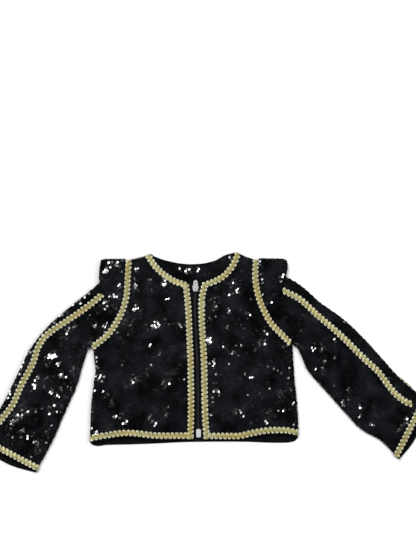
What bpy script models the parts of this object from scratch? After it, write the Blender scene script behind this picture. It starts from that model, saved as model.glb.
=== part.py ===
"""Child's matador jacket, zipped and laid flat on its back.

Black sequinned cloth with gold gimp braid: a cropped round-necked body, a front zip,
two set-in sleeves and a stiff wing over each sleeve head. All sizes are millimetres
until the meshes are made. While it is drawn, X = 0 is near the zip, Y = 0 the hem,
+Y runs to the neck and Z = 0 is the surface that the jacket lies on. The last step moves
the whole jacket so that its origin is under the middle of its box. Right and left
are the wearer's, so the right side is at -X.
"""

import math

import bmesh
import bpy
import numpy as np
from mathutils import Matrix, Vector
from mathutils.bvhtree import BVHTree

MM = 0.001
CLOTH = 2.0  # wall of the sequinned cloth and its net
SEAM = 0.35  # gap between sewn pieces
REST = CLOTH / 2  # height of the middle of a wall that lies on the surface
FRONT_LEVEL = 4.6  # middle of the upper wall where it lies on the lower one
ROLL = 2.9  # radius of the soft roll where the cloth folds round an edge
ROLL_LEVEL = REST + ROLL
ROLL_TURNS = (0, 38)  # turns of the roll that the mesh follows, in degrees from its crown
ROLL_HIP = 1.0  # height of the last turn over the seam
ROLL_FADE = 28.0  # how far in from an edge its roll dies away
BRAID_WIDTH = 10.0
BRAID_PITCH = 7.0  # from loop to loop along the braid
BRAID_SCALLOP = 0.9  # how far the loops stand out and in from the mean edge
BRAID_THICK = 1.4
BRAID_GAP = 0.65  # braid above the cloth, so that the two never touch
WRAP_GAP = 0.4  # and as much more where it turns round a roll
BRAID_INSET = 6.6  # from a cloth edge to the middle of its braid
TAPE_THICK = 0.8
TAPE_WIDTH = 11.0
TAPE_LEVEL = 2.8
CHAIN_WIDTH = 4.6
CHAIN_HEIGHT = 1.8

# Curves of the right half, x and y in a row, from the hem upwards.
RIGHT_SIDE = [
    (-169.4, -3), (-168.8, 31), (-167, 66), (-163, 100), (-161, 118), (-163.6, 134), (-165.4, 153.3),
]
RIGHT_ARMHOLE = [
    (-165.4, 153.3), (-144.5, 170.9), (-131, 189.3), (-119.8, 212.2), (-113.1, 237.8), (-112, 260.8),
    (-110, 294),
]
RIGHT_FRONT_EDGE = [
    (-3.6, 1.6), (-2.8, 34), (-2.6, 67), (-3, 100), (-3.6, 136), (-5, 166), (-6.3, 200), (-8.5, 231),
    (-11.5, 257.5),
]
RIGHT_NECK = [
    (-11.5, 257.5), (-19.2, 260.9), (-31.7, 265.7), (-44.5, 273.2), (-56.8, 283.4), (-65.1, 292.8),
    (-72, 304),
]
RIGHT_SHOULDER = [(-72, 304), (-95, 298), (-110, 294)]
RIGHT_HEM = [
    (-3.6, 1.6), (-42, 1.6), (-66, 1.8), (-85, 3.6), (-106, 5.6), (-122, 5.2), (-142, 2.3), (-158, -0.5),
    (-169.4, -3),
]
# The same for the left half.
LEFT_SIDE = [(160.9, 6), (160.9, 31), (158.7, 66), (155.3, 100), (154.5, 116), (153.1, 134.5), (152.3, 155.8)]
LEFT_ARMHOLE = [
    (152.3, 155.8), (136, 173.2), (122.6, 187), (109.1, 209.9), (100.2, 232.9), (94.6, 260.8), (95.2, 294.5),
]
LEFT_FRONT_EDGE = [
    (9.6, 1.6), (7, 39), (6, 72), (5.6, 105), (4.6, 136), (2.8, 169), (1.2, 200), (1.6, 233), (6.9, 259),
]
LEFT_NECK = [
    (6.9, 259), (14.5, 261.4), (23.5, 265), (32.5, 269.5), (41, 275.5), (48, 283.3), (54.3, 293), (60, 308),
]
LEFT_SHOULDER = [(60, 308), (78.4, 301), (95.2, 294.5)]
LEFT_HEM = [
    (9.6, 1.6), (53, 1.1), (69, 1.3), (83, 4.4), (99, 7.5), (114, 9.8), (130, 10.3), (144, 9.8), (160.9, 6),
]
BACK_NECK = [
    (-72, 304), (-56, 297.5), (-36.8, 292.6), (-10, 289.5), (11.2, 291), (30.4, 296), (47, 305), (60, 308),
]
BACK_HEM = [
    (-169.4, -3), (-165, -6), (-142, -5.6), (-86, -4.1), (-11, -0.8), (37, -0.3), (77, -0.5), (130, -2.1),
    (149, -1.3), (158, 1.5), (160.9, 6),
]
# Each sleeve, from armhole to cuff: the outer edge and the inner edge of a section.
SLEEVE_COLUMNS = ("outer_x", "outer_y", "inner_x", "inner_y")
RIGHT_SLEEVE = [
    (-110, 294, -168.0, 154.6),
    (-138, 277, -173.2, 150.8),
    (-169, 246, -178, 144),
    (-202, 218.5, -183.5, 126),
    (-234, 190.5, -188.5, 105),
    (-265, 151, -197.5, 80),
    (-287.5, 105, -211.5, 48),
    (-308, 62, -228, 8),
    (-330, 26, -243.5, -23),
    (-348, -2, -257, -50),
]
LEFT_SLEEVE = [
    (95.2, 294.5, 154.9, 157.2),
    (127, 276.5, 161.0, 153),
    (161, 257, 168.5, 140),
    (197.5, 225, 178, 117),
    (236, 196.5, 194, 97),
    (266.5, 167, 212, 77),
    (295, 134.5, 238, 47),
    (319.5, 106.5, 265, 19),
    (345, 83, 296, 1),
    (370, 63, 323, -29),
]
# Where each armhole is sampled, from armpit to shoulder, so that body and sleeve meet point for point.
ARMHOLE_STEPS = [0.010, 0.026, 0.11, 0.21, 0.31, 0.41, 0.51, 0.62, 0.72, 0.82, 0.91]
ARMPIT_ROW = 0.5  # share of a body panel's height at its armpit
NECK_ROW = ARMPIT_ROW + (1 - ARMPIT_ROW) * ARMHOLE_STEPS[7]  # and at the corner of neck and front edge

# Each wing from its fold on the shoulder down to its tip: inner and free edge of a row.
WING_COLUMNS = ("inner_x", "inner_y", "free_x", "free_y")
RIGHT_WING = [
    (-119.8, 296.8, -154.5, 297.5),
    (-118.5, 283, -156.8, 281),
    (-119.6, 268, -157.4, 264),
    (-120.2, 252, -155, 250),
    (-121.5, 238, -149.5, 236),
    (-125, 224, -142, 223),
    (-129.5, 212, -133, 211),
]
LEFT_WING = [
    (106.2, 297.6, 144.6, 298),
    (104.2, 284, 146.6, 284),
    (103.0, 268, 143.4, 268),
    (104, 254, 139, 254),
    (107, 240, 133.5, 242),
    (111, 228, 126, 230),
    (116, 217, 119.5, 219),
]
WING_FOLD = (3.6, 1.9)  # radius of the wing's fold, at its seam and at its corner
WING_LIFT = CLOTH + 0.7  # wing above the sleeve that it lies on
WING_REACH = 4.5  # how far round each point the wing looks for cloth to lie on
WING_ROWS = 10
WING_LINES = 8
STRIPE_START = 1.0  # from the wing's free edge to the start of the sleeve's stripe
BACK_STRIPE_SPAN = (0.80, 0.875)  # where the rim of the back's stripe shows, as shares of the left sleeve

# Ridges of the upper wall: ends, height, half width, and how far the middle bows to the left of its run.
FOLD_COLUMNS = ("x0", "y0", "x1", "y1", "height", "half_width", "bow")
FOLDS = [
    (-118, 172, -22, 180, 2.6, 13, 5),
    (-100, 152, -18, 157, -1.2, 7, 2),
    (-98, 247, -22, 238, 2.2, 12, -4),
    (-150, 112, -128, 62, 3.0, 10, 5),
    (-128, 58, -68, 104, 2.4, 11, 6),
    (-60, 70, -20, 118, 1.8, 12, -4),
    (-80, 30, -30, 22, 1.8, 11, 3),
    (-112, -6, -108, 44, 2.6, 26, 0),
    (15, 223, 86, 203, 3.0, 10, 4),
    (30, 248, 78, 238, 2.2, 9, -3),
    (20, 167, 80, 131, 3.2, 10, -5),
    (20, 128, 52, 112, 2.0, 8, 2),
    (84, 102, 126, 84, 2.4, 9, 3),
    (110, 178, 141, 120, 3.0, 9, -5),
    (22, 72, 50, 48, 2.6, 9, 2),
    (62, 54, 98, 18, 3.4, 11, -4),
    (126, -4, 122, 46, 2.8, 26, 0),
    (-230, 142, -201, 84, 4.2, 11, -5),
    (-212, 172, -166, 180, 2.8, 12, 6),
    (-262, 86, -222, 66, 2.8, 11, 6),
    (-300, 18, -248, 36, 3.0, 17, 5),
    (-262, 118, -244, 96, -1.2, 11, 0),
    (-306, -32, -292, 6, 2.2, 26, 0),
    (208, 160, 205, 102, 2.4, 7, 3),
    (226, 150, 228, 78, 2.6, 7, -3),
    (245, 138, 247, 58, 2.6, 7, 3),
    (264, 118, 268, 40, 2.4, 7, -2),
    (284, 98, 289, 26, 2.2, 7, 2),
    (352, 12, 330, 26, 2.4, 26, 0),
]
FOLD_CLEAR = 16.0  # ridges die away this far from a rolled edge

# The middle of each sleeve's braid stripe, from the wing to the cuff.
RIGHT_STRIPE = [
    (-151.5, 239), (-169.6, 223.5), (-209.6, 194.2), (-233, 178.4), (-247, 165), (-255.4, 149.6), (-262, 128),
    (-280, 91.8), (-296.5, 55), (-310, 37), (-327, 15),
]
LEFT_STRIPE = [
    (138, 245.5), (161, 233.9), (196.2, 202.5), (231.4, 171.2), (271.4, 130.4), (292.5, 110), (306.6, 90),
    (320.6, 73.5), (334.7, 63), (345, 58.5),
]
ARMPIT_EASE = np.array([[1.8], [4.0], [6.5], [8.0]])  # how many seam gaps the sleeve keeps off at the armpit
CUFF_OVERHANG = 9.0  # how far the lower cloth of a cuff reaches past the upper
SECTIONS = 19  # rings along a sleeve, less one
FRONT_COLUMNS = 14
BACK_COLUMNS = 16

# The zip's middle line, from hem to neck.
ZIP_LINE = [
    (3.0, 0), (2.2, 39), (1.8, 72), (1.3, 105), (0.5, 136), (-1.1, 169), (-2.6, 200), (-2.8, 231),
    (-1.6, 259),
]
BOX_LOW = 5.6  # the foot of the box over the hem line
BOX_LENGTH = 13.2
BOX_WIDTH = 7.6
BOX_HEIGHT = 3.2
SLIDER_TOP_Y = 254.6
SLIDER_LENGTH = 10.5
SLIDER_WIDTH = 9.6
SLIDER_HEIGHT = 3.6
PULL_LENGTH = 12.0
PULL_WIDTH = 6.6
PULL_THICK = 1.2
PULL_BAR = 1.3  # the pull's cross bar, which turns in the slider's bridge
BRIDGE_WIDTH = 2.2
BRIDGE_WINDOW = 2.6
BRIDGE_WALL = 1.0

BLACK = (0.012, 0.014, 0.018)
GOLD = (0.56, 0.50, 0.20)
STEEL = (0.55, 0.54, 0.52)
TAPE = (0.010, 0.010, 0.012)


def material(name, colour, roughness, metallic):
    """A Principled material with one colour."""
    made = bpy.data.materials.new(name)
    made.use_nodes = True
    shader = made.node_tree.nodes["Principled BSDF"]
    shader.inputs["Base Color"].default_value = (*colour, 1.0)
    shader.inputs["Roughness"].default_value = roughness
    shader.inputs["Metallic"].default_value = metallic
    return made


def smoothstep(value):
    """0 below 0, 1 above 1, and a smooth rise between."""
    t = np.clip(value, 0.0, 1.0)
    return t * t * (3.0 - 2.0 * t)


def curve(points, share):
    """A smooth curve through the points, read at shares of its length from 0 to 1."""
    p = np.asarray(points, float)
    at = np.concatenate([[0.0], np.cumsum(np.linalg.norm(np.diff(p, axis=0), axis=1))])
    at /= at[-1]
    slope = np.gradient(p, at, axis=0)
    t = np.clip(np.asarray(share, float), 0.0, 1.0)
    i = np.clip(np.searchsorted(at, t, side="right") - 1, 0, len(at) - 2)
    step = (at[i + 1] - at[i])[..., None]
    f = (t - at[i])[..., None] / step
    return (
        (2 * f**3 - 3 * f**2 + 1) * p[i]
        + (f**3 - 2 * f**2 + f) * step * slope[i]
        + (3 * f**2 - 2 * f**3) * p[i + 1]
        + (f**3 - f**2) * step * slope[i + 1]
    )


def two_curves(low, high, corner, share):
    """One curve up to the corner share, and the other from there on."""
    first = curve(low, np.asarray(share) / corner)
    second = curve(high, (np.asarray(share) - corner) / (1.0 - corner))
    return np.where((np.asarray(share) <= corner)[..., None], first, second)


def coons(bottom, top, start, end, u, v):
    """The plan inside four boundary curves, u across and v upwards."""
    b, t, s, e = bottom(u), top(u), start(v), end(v)
    ends = np.array([0.0, 1.0])
    low, high = bottom(ends), top(ends)
    u, v = u[..., None], v[..., None]
    low_line = (1 - u) * low[0] + u * low[1]
    high_line = (1 - u) * high[0] + u * high[1]
    return (1 - v) * (b - low_line) + v * (t - high_line) + (1 - u) * s + u * e


def fold_height(x, y):
    """The ridges of the upper wall at plan points: a bell across each run, flat-topped along it."""
    total = np.zeros_like(x)
    for row in FOLDS:
        fold = dict(zip(FOLD_COLUMNS, row))
        run = np.array([fold["x1"] - fold["x0"], fold["y1"] - fold["y0"]])
        length = np.linalg.norm(run)
        run = run / length
        along = ((x - fold["x0"]) * run[0] + (y - fold["y0"]) * run[1]) / length
        bow = fold["bow"] * 4 * along * (1 - along)
        across = (y - fold["y0"]) * run[0] - (x - fold["x0"]) * run[1] - bow
        ends = 1.0 / (1.0 + (2 * along - 1) ** 8)
        total += fold["height"] * ends * np.exp(-((across / fold["half_width"]) ** 2))
    return total


def upper_level(distance):
    """Middle height of the upper wall at a distance in from a rolled edge."""
    d = np.clip(distance, 0.0, ROLL)
    roll = ROLL_LEVEL + np.sqrt(np.maximum(ROLL**2 - (ROLL - d) ** 2, 0.0))
    crown = REST + 2 * ROLL
    fall = crown - (crown - FRONT_LEVEL) * smoothstep((distance - ROLL) / ROLL_FADE)
    return np.where(distance < ROLL, roll, fall)


def lower_level(distance):
    """Middle height of the lower wall at a distance in from a rolled edge."""
    d = np.clip(distance, 0.0, ROLL)
    return ROLL_LEVEL - np.sqrt(np.maximum(ROLL**2 - (ROLL - d) ** 2, 0.0))


def from_line(points, a, b):
    """Distance of plan points from the line through a and b."""
    a, b = np.array(a, float), np.array(b, float)
    run = (b - a) / np.linalg.norm(b - a)
    return np.abs((points[..., 1] - a[1]) * run[0] - (points[..., 0] - a[0]) * run[1])


def from_side(points, side):
    """Distance of plan points in from a side seam, which is carried straight up past the armpit."""
    table = np.array(side, float)
    return np.abs(points[..., 0] - np.interp(points[..., 1], table[:, 1], table[:, 0]))


def rim_distances(rolled):
    """Distances in from an edge of its last four lines. Where it is rolled, two of them share one line."""
    down = [np.full(len(rolled), ROLL * (1 - math.sin(math.radians(turn)))) for turn in ROLL_TURNS]
    return np.stack(down + [np.where(rolled, 0.0, 0.5), np.zeros(len(rolled))], axis=1)


def plan_rows():
    """Heights of the rows of a body panel, hem to shoulder, with every armhole sample among them."""
    below = list(np.linspace(0.0, ARMPIT_ROW, 10))
    above = [ARMPIT_ROW + (1 - ARMPIT_ROW) * step for step in ARMHOLE_STEPS]
    return np.array(below + above + [1.0])


def shoulder_rows(plan, rolled):
    """Spreads the last row over the distances of the rim."""
    last, before = plan[-1], plan[-2]
    inwards = (before - last) / np.linalg.norm(before - last, axis=1)[:, None]
    rows = [last + inwards * d[:, None] for d in rim_distances(rolled).T]
    return np.concatenate([plan[:-1], np.array(rows)])


def mesh_object(name, points, faces, finish, collection):
    """One named mesh from points in millimetres."""
    mesh = bpy.data.meshes.new(name)
    mesh.from_pydata([tuple(p) for p in np.asarray(points, float) * MM], [], faces)
    mesh.validate()
    made = bpy.data.objects.new(name, mesh)
    collection.objects.link(made)
    mesh.materials.append(finish)
    return made


def face_outwards(mesh):
    """Turns every face of a closed mesh outwards."""
    work = bmesh.new()
    work.from_mesh(mesh)
    bmesh.ops.recalc_face_normals(work, faces=work.faces)
    work.to_mesh(mesh)
    work.free()


def wall(name, grid, finish, collection, closed=False, thickness=CLOTH):
    """A cloth wall: the grid of its middle surface, given its thickness by Solidify."""
    rows, columns = grid.shape[:2]
    joined = columns if closed else columns - 1
    faces = []
    for i in range(rows - 1):
        for j in range(joined):
            k = (j + 1) % columns
            faces.append((i * columns + j, i * columns + k, (i + 1) * columns + k, (i + 1) * columns + j))
    made = mesh_object(name, grid.reshape(-1, 3), faces, finish, collection)
    solid = made.modifiers.new("cloth", "SOLIDIFY")
    solid.thickness = thickness * MM
    solid.offset = 0.0
    made.data.shade_smooth()
    return made


def rolled_rows(v):
    """Which rows of a body panel end on its folded side, not on the armhole."""
    return v <= ARMPIT_ROW + 1e-6


def front_grid(curves):
    """A front's middle surface, rows from hem to shoulder and columns from the zip to the side."""
    side, armhole, edge, neck, shoulder, hem = curves
    v = plan_rows()
    outer = two_curves(side, armhole, ARMPIT_ROW, v)
    inner = two_curves(edge, neck, NECK_ROW, v)
    width = np.linalg.norm(outer - inner, axis=1)[:, None]
    rim = 1 - rim_distances(rolled_rows(v)) / width
    main = np.linspace(0.0, 1.0, FRONT_COLUMNS)[None, :-1]
    u = np.concatenate([main * rim[:, :1], rim], axis=1)
    plan = coons(
        lambda s: curve(hem, s),
        lambda s: curve(shoulder, s),
        lambda s: two_curves(edge, neck, NECK_ROW, s),
        lambda s: two_curves(side, armhole, ARMPIT_ROW, s),
        u,
        np.repeat(v[:, None], u.shape[1], axis=1),
    )
    plan = shoulder_rows(plan, np.ones(plan.shape[1], bool))
    inwards = np.minimum(from_side(plan, side), from_line(plan, shoulder[0], shoulder[-1]))
    folds = fold_height(plan[..., 0], plan[..., 1]) * smoothstep((inwards - ROLL) / FOLD_CLEAR)
    z = upper_level(inwards) + folds
    low = int(rolled_rows(v).sum())
    z[:low, -2] = ROLL_LEVEL + ROLL_HIP
    z[-2] = np.minimum(z[-2], ROLL_LEVEL + ROLL_HIP)
    z[-2] = np.maximum(z[-2], ROLL_LEVEL + ROLL_HIP)
    z[:low, -1] = ROLL_LEVEL + SEAM / 2
    z[-1] = ROLL_LEVEL + SEAM / 2
    return np.concatenate([plan, z[..., None]], axis=2)


def back_grid():
    """The back's middle surface, rows from hem to shoulder and columns from right to left."""
    v = plan_rows()
    near, far = 0.2, 0.8
    low = two_curves(RIGHT_SIDE, RIGHT_ARMHOLE, ARMPIT_ROW, v)
    high = two_curves(LEFT_SIDE, LEFT_ARMHOLE, ARMPIT_ROW, v)
    width = np.linalg.norm(high - low, axis=1)[:, None]
    rim = rim_distances(rolled_rows(v)) / width
    shoulder_part = np.linspace(0, near, 4)[1:]
    neck_part = np.linspace(near, far, BACK_COLUMNS - 6)[1:-1]
    main = np.concatenate([shoulder_part, neck_part, 1 - shoulder_part[::-1]])[None]
    inner = rim[:, :1] + main * (1 - 2 * rim[:, :1])
    u = np.concatenate([rim[:, ::-1], inner, 1 - rim], axis=1)

    def top(s):
        first = curve(RIGHT_SHOULDER[::-1], s / near)
        middle = curve(BACK_NECK, (s - near) / (far - near))
        last = curve(LEFT_SHOULDER, (s - far) / (1 - far))
        s = s[..., None]
        return np.where(s <= near, first, np.where(s <= far, middle, last))

    plan = coons(
        lambda s: curve(BACK_HEM, s),
        top,
        lambda s: two_curves(RIGHT_SIDE, RIGHT_ARMHOLE, ARMPIT_ROW, s),
        lambda s: two_curves(LEFT_SIDE, LEFT_ARMHOLE, ARMPIT_ROW, s),
        u,
        np.repeat(v[:, None], u.shape[1], axis=1),
    )
    slack = 1e-3
    shoulders = (u[-1] <= near + slack) | (u[-1] >= far - slack)
    plan = shoulder_rows(plan, shoulders)
    inwards = np.minimum(from_side(plan, RIGHT_SIDE), from_side(plan, LEFT_SIDE))
    for shoulder in (RIGHT_SHOULDER, LEFT_SHOULDER):
        inwards = np.minimum(inwards, from_shoulder(plan, shoulder))
    z = lower_level(inwards)
    ends = int(rolled_rows(v).sum())
    z[:ends, (1, -2)] = ROLL_LEVEL - ROLL_HIP
    z[-2, shoulders] = ROLL_LEVEL - ROLL_HIP
    z[:ends, (0, -1)] = ROLL_LEVEL - SEAM / 2
    z[-1, shoulders] = ROLL_LEVEL - SEAM / 2
    return np.concatenate([plan, z[..., None]], axis=2)


def from_shoulder(plan, shoulder):
    """Distance from a shoulder seam, which ends at the neck."""
    inside = np.sort([shoulder[0][0], shoulder[-1][0]])
    past = np.maximum(inside[0] - plan[..., 0], plan[..., 0] - inside[1])
    return np.hypot(from_line(plan, shoulder[0], shoulder[-1]), np.maximum(past, 0.0))


def sleeve_plan(table, armhole, along, across):
    """Plan of a sleeve: straight sections between its edges, bent to the armhole curve at its head."""
    edges = curve(table, along)
    outer, inner = edges[..., :2], edges[..., 2:]
    share = across[..., None]
    straight = outer * (1 - share) + inner * share
    seam = np.array(armhole, float)
    chord = seam[-1] * (1 - share) + seam[0] * share
    bend = curve(armhole, 1 - across) - chord
    fade = np.clip(1 - along / 0.34, 0.0, 1.0)[..., None] ** 2
    return straight + bend * fade


def sleeve_grid(sign, table, armhole, front, back):
    """A sleeve's middle surface, in rings from the armhole to the cuff."""
    first = len(plan_rows()) - len(ARMHOLE_STEPS) - 2
    upper_seam = front[first:, -1][::-1]
    lower_seam = back[first:, 0 if sign < 0 else -1][::-1]
    ends = (0, -1)
    upper_seam = upper_seam.copy()
    upper_seam[ends, :] = (upper_seam[ends, :] + lower_seam[ends, :]) / 2
    along = np.linspace(0.0, 1.0, SECTIONS + 1)[:, None]
    edges = curve(table, along[:, 0])
    width = np.linalg.norm(edges[:, :2] - edges[:, 2:], axis=1)[:, None]
    hip = ROLL - math.sqrt(ROLL**2 - ROLL_HIP**2)
    turns = [ROLL * (1 - math.sin(math.radians(turn))) for turn in ROLL_TURNS[::-1]]
    start = np.array([[0.0, hip] + turns])
    stop = np.array([[0.0] + turns])[:, ::-1]
    main = np.linspace(0.0, 1.0, len(ARMHOLE_STEPS))[None, 1:-1]
    spread = turns[-1] + main * (width - 2 * turns[-1])
    distance = np.concatenate([start + 0 * width, spread, width - stop], axis=1)
    run = np.concatenate([[0.0], np.cumsum(np.linalg.norm(np.diff(upper_seam[:, :2], axis=0), axis=1))])
    settle = smoothstep(along / 0.14)
    share = run[None] / run[-1] * (1 - settle) + distance / width * settle
    ring = np.repeat(along, distance.shape[1], axis=1)
    plan = sleeve_plan(table, armhole, ring, share)
    inwards = np.minimum(distance, width - distance)
    ridge = fold_height(plan[..., 0], plan[..., 1]) * smoothstep((inwards - ROLL) / FOLD_CLEAR)
    top_z = (upper_level(inwards) + ridge) * settle + upper_seam[None, :, 2] * (1 - settle)
    low_z = lower_level(inwards) * settle + lower_seam[None, :, 2] * (1 - settle)
    axis = np.array(table[-1], float) - np.array(table[-2], float)
    axis = (axis[:2] + axis[2:]) / np.linalg.norm(axis[:2] + axis[2:])
    reach = CUFF_OVERHANG * np.sin(np.pi * share) * smoothstep((ring - 0.82) / 0.18)
    low_plan = plan + reach[..., None] * axis
    top = np.concatenate([plan, top_z[..., None]], axis=2)
    low = np.concatenate([low_plan, low_z[..., None]], axis=2)
    ahead = np.gradient(upper_seam[:, :2], axis=0)
    ahead[0] = ahead[1]
    outwards = np.stack([ahead[:, 1], -ahead[:, 0]], axis=1) / np.linalg.norm(ahead, axis=1)[:, None]
    outwards = outwards * np.sign(outwards[len(outwards) // 2, 0]) * sign * SEAM
    outwards[-4:] *= ARMPIT_EASE
    top[0] = upper_seam
    low[0] = lower_seam
    top[0, :, :2] += outwards
    low[0, :, :2] += outwards
    return np.concatenate([top, low[:, -2:0:-1]], axis=1)


def wing(name, sign, table, sleeve_table, tree, finish, collection):
    """A wing, folded on the shoulder, with its upper leaf on the sleeve head and its lower leaf beside it."""
    down = np.linspace(0.0, 1.0, WING_ROWS)
    out = np.linspace(0.0, 1.0, WING_LINES)
    rows = curve(table, down)
    share = out[None, :, None]
    leaf = rows[:, None, :2] * (1 - share) + rows[:, None, 2:] * share
    fold_line = leaf[0]
    inwards = (leaf[1] - leaf[0]) / np.linalg.norm(leaf[1] - leaf[0], axis=1)[:, None]
    radius = WING_FOLD[0] + (WING_FOLD[1] - WING_FOLD[0]) * smoothstep(out / 0.7)
    depth = np.maximum(lower_leaf_depth(fold_line, sleeve_table), radius + 0.5)
    points = [np.column_stack([fold_line + inwards * depth[:, None], np.full(len(out), REST)])]
    for turn in np.radians([0, 45, 90, 135, 180]):
        step = radius * (1 - math.sin(turn))
        z = REST + radius * (1 - math.cos(turn))
        points.append(np.column_stack([fold_line + inwards * step[:, None], z]))
    below = np.array([[highest_near(tree, p) for p in row] for row in leaf[1:]])
    crease = np.broadcast_to(REST + 2 * radius, below.shape)
    z = stiffened(np.maximum(below + WING_LIFT, crease), REST + 2 * radius)
    grid = np.concatenate([np.array(points), np.concatenate([leaf[1:], z[..., None]], axis=2)])
    return wall(name, facing_up(grid, sign), finish, collection)


def stiffened(z, fold):
    """A stiff leaf can't dip between its neighbours: each point is raised to the mean beside it."""
    raised = z.copy()
    for _ in range(4):
        around = np.pad(raised, 1, mode="edge")
        around[0, 1:-1] = fold
        mean = (around[:-2, 1:-1] + around[2:, 1:-1] + around[1:-1, :-2] + around[1:-1, 2:]) / 4
        raised = np.maximum(raised, mean)
    return raised


def highest_near(tree, point):
    """The highest cloth in a small ring round a plan point."""
    turns = np.radians(np.arange(0, 360, 60))
    ring = [point] + [point + WING_REACH * np.array([math.cos(t), math.sin(t)]) for t in turns]
    return max(top_of(tree, p) for p in ring) - CLOTH / 2


def lower_leaf_depth(fold_line, sleeve_table):
    """How deep the wing's lower leaf can be before it meets the sleeve's outer edge."""
    outer = curve(sleeve_table, np.linspace(0, 0.5, 80))[:, :2]
    order = np.argsort(outer[:, 0])
    edge = np.interp(fold_line[:, 0], outer[order, 0], outer[order, 1])
    return fold_line[:, 1] - edge - CLOTH / 2 - 2.0


def facing_up(grid, sign):
    """The same grid with its columns turned round where that is needed for its faces to look up."""
    return grid if sign < 0 else grid[:, ::-1]


def tree_of(objects):
    """A search tree of the objects' finished surfaces, in millimetres."""
    graph = bpy.context.evaluated_depsgraph_get()
    points, faces = [], []
    for item in objects:
        shape = item.evaluated_get(graph).to_mesh()
        start = len(points)
        points += [v.co / MM for v in shape.vertices]
        faces += [tuple(start + k for k in f.vertices) for f in shape.polygons]
    return BVHTree.FromPolygons(points, faces)


def top_of(tree, point):
    """Height of the uppermost cloth over a plan point, or the lower wall's top where there is none."""
    hit = tree.ray_cast(Vector((point[0], point[1], 60.0)), Vector((0, 0, -1)))
    return hit[0].z if hit[0] is not None else CLOTH


def trimmed(path, start, end):
    """A path with lengths cut off its two ends."""
    fine = curve(path, np.linspace(0, 1, 300))
    run = np.concatenate([[0.0], np.cumsum(np.linalg.norm(np.diff(fine, axis=0), axis=1))])
    at = np.linspace(start, run[-1] - end, 60)
    return np.stack([np.interp(at, run, fine[:, 0]), np.interp(at, run, fine[:, 1])], axis=1)


def beside(path, distance):
    """A path moved to its left by a distance."""
    line = curve(path, np.linspace(0, 1, 60))
    ahead = np.gradient(line, axis=0)
    ahead /= np.linalg.norm(ahead, axis=1)[:, None]
    return line + distance * np.stack([-ahead[:, 1], ahead[:, 0]], axis=1)


def even_steps(path, step):
    """Plan points along a path, as near to step apart as fits, with their directions."""
    path = np.asarray(path, float)
    run = np.concatenate([[0.0], np.cumsum(np.linalg.norm(np.diff(path, axis=0), axis=1))])
    count = max(2, round(run[-1] / step))
    at = np.linspace(0, run[-1], count + 1)
    points = np.stack([np.interp(at, run, path[:, 0]), np.interp(at, run, path[:, 1])], axis=1)
    ahead = np.gradient(points, axis=0)
    return points, ahead / np.linalg.norm(ahead, axis=1)[:, None]


def braid(name, path, tree, finish, collection, wraps=(False, False), cuts=(None, None)):
    """Gimp braid on the cloth: a strip with staggered scallops, whose ends can turn down round a roll."""
    points, ahead = even_steps(path, BRAID_PITCH / 2)
    aside = np.stack([-ahead[:, 1], ahead[:, 0]], axis=1)
    for end, cut in zip((0, -1), cuts):
        if cut is not None:
            aside[end] = np.array(cut) / np.dot(cut, aside[end])
    wave = np.where(np.arange(len(points)) % 2 == 0, 1.0, -1.0) * BRAID_SCALLOP
    rings = []
    for p, step, side, w in zip(points, ahead, aside, wave):
        left, right = p + side * (BRAID_WIDTH / 2 + w), p - side * (BRAID_WIDTH / 2 - w)
        spots = np.linspace(0.04, 0.96, 10)
        lines = [left + (right - left) * k for k in spots]
        heights = np.array([max(top_of(tree, q + step * a) for a in (-2, -1, 0, 1, 2)) for q in lines])
        heights = np.maximum(heights, heights.max() - 1.5)
        slope = (heights[-1] - heights[0]) / (spots[-1] - spots[0])
        level = heights[0] + slope * (spots - spots[0])
        hump = max(0.0, (heights - level).max())
        low_left = level[0] - slope * spots[0] + hump + BRAID_GAP
        low_right = level[-1] + slope * (1 - spots[-1]) + hump + BRAID_GAP
        rings.append([
            (*left, low_left), (*right, low_right),
            (*right, low_right + BRAID_THICK), (*left, low_left + BRAID_THICK),
        ])
    if wraps[0]:
        rings = wrapped(rings[0], -ahead[0])[::-1] + rings[1:]
    if wraps[1]:
        rings = rings[:-1] + wrapped(rings[-1], ahead[-1])
    return strip(name, rings, finish, collection)


def strip(name, rings, finish, collection):
    """A closed strip through rings of the same number of points."""
    size = len(rings[0])
    last = (len(rings) - 1) * size
    faces = [tuple(range(size)), tuple(last + k for k in reversed(range(size)))]
    for i in range(len(rings) - 1):
        a, b = i * size, (i + 1) * size
        faces += [(a + k, b + k, b + (k + 1) % size, a + (k + 1) % size) for k in range(size)]
    made = mesh_object(name, [q for ring in rings for q in ring], faces, finish, collection)
    face_outwards(made.data)
    return made


def wrapped(ring, onwards):
    """Rings that carry a strip's end round the roll beyond it, almost down to the seam."""
    ring = np.array(ring)
    line = ring[0, :2] - ring[1, :2]
    out = np.array([line[1], -line[0]]) / np.linalg.norm(line)
    out = out * np.sign(out @ onwards)
    base = ROLL + CLOTH / 2 + BRAID_GAP + WRAP_GAP
    radius = base + np.array([0, 0, BRAID_THICK, BRAID_THICK])
    made = []
    for turn in np.radians([90, 60, 32, 6]):
        plan = ring[:, :2] + out * (radius * math.cos(turn))[:, None]
        made.append(np.column_stack([plan, ROLL_LEVEL + radius * math.sin(turn)]))
    return made


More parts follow.
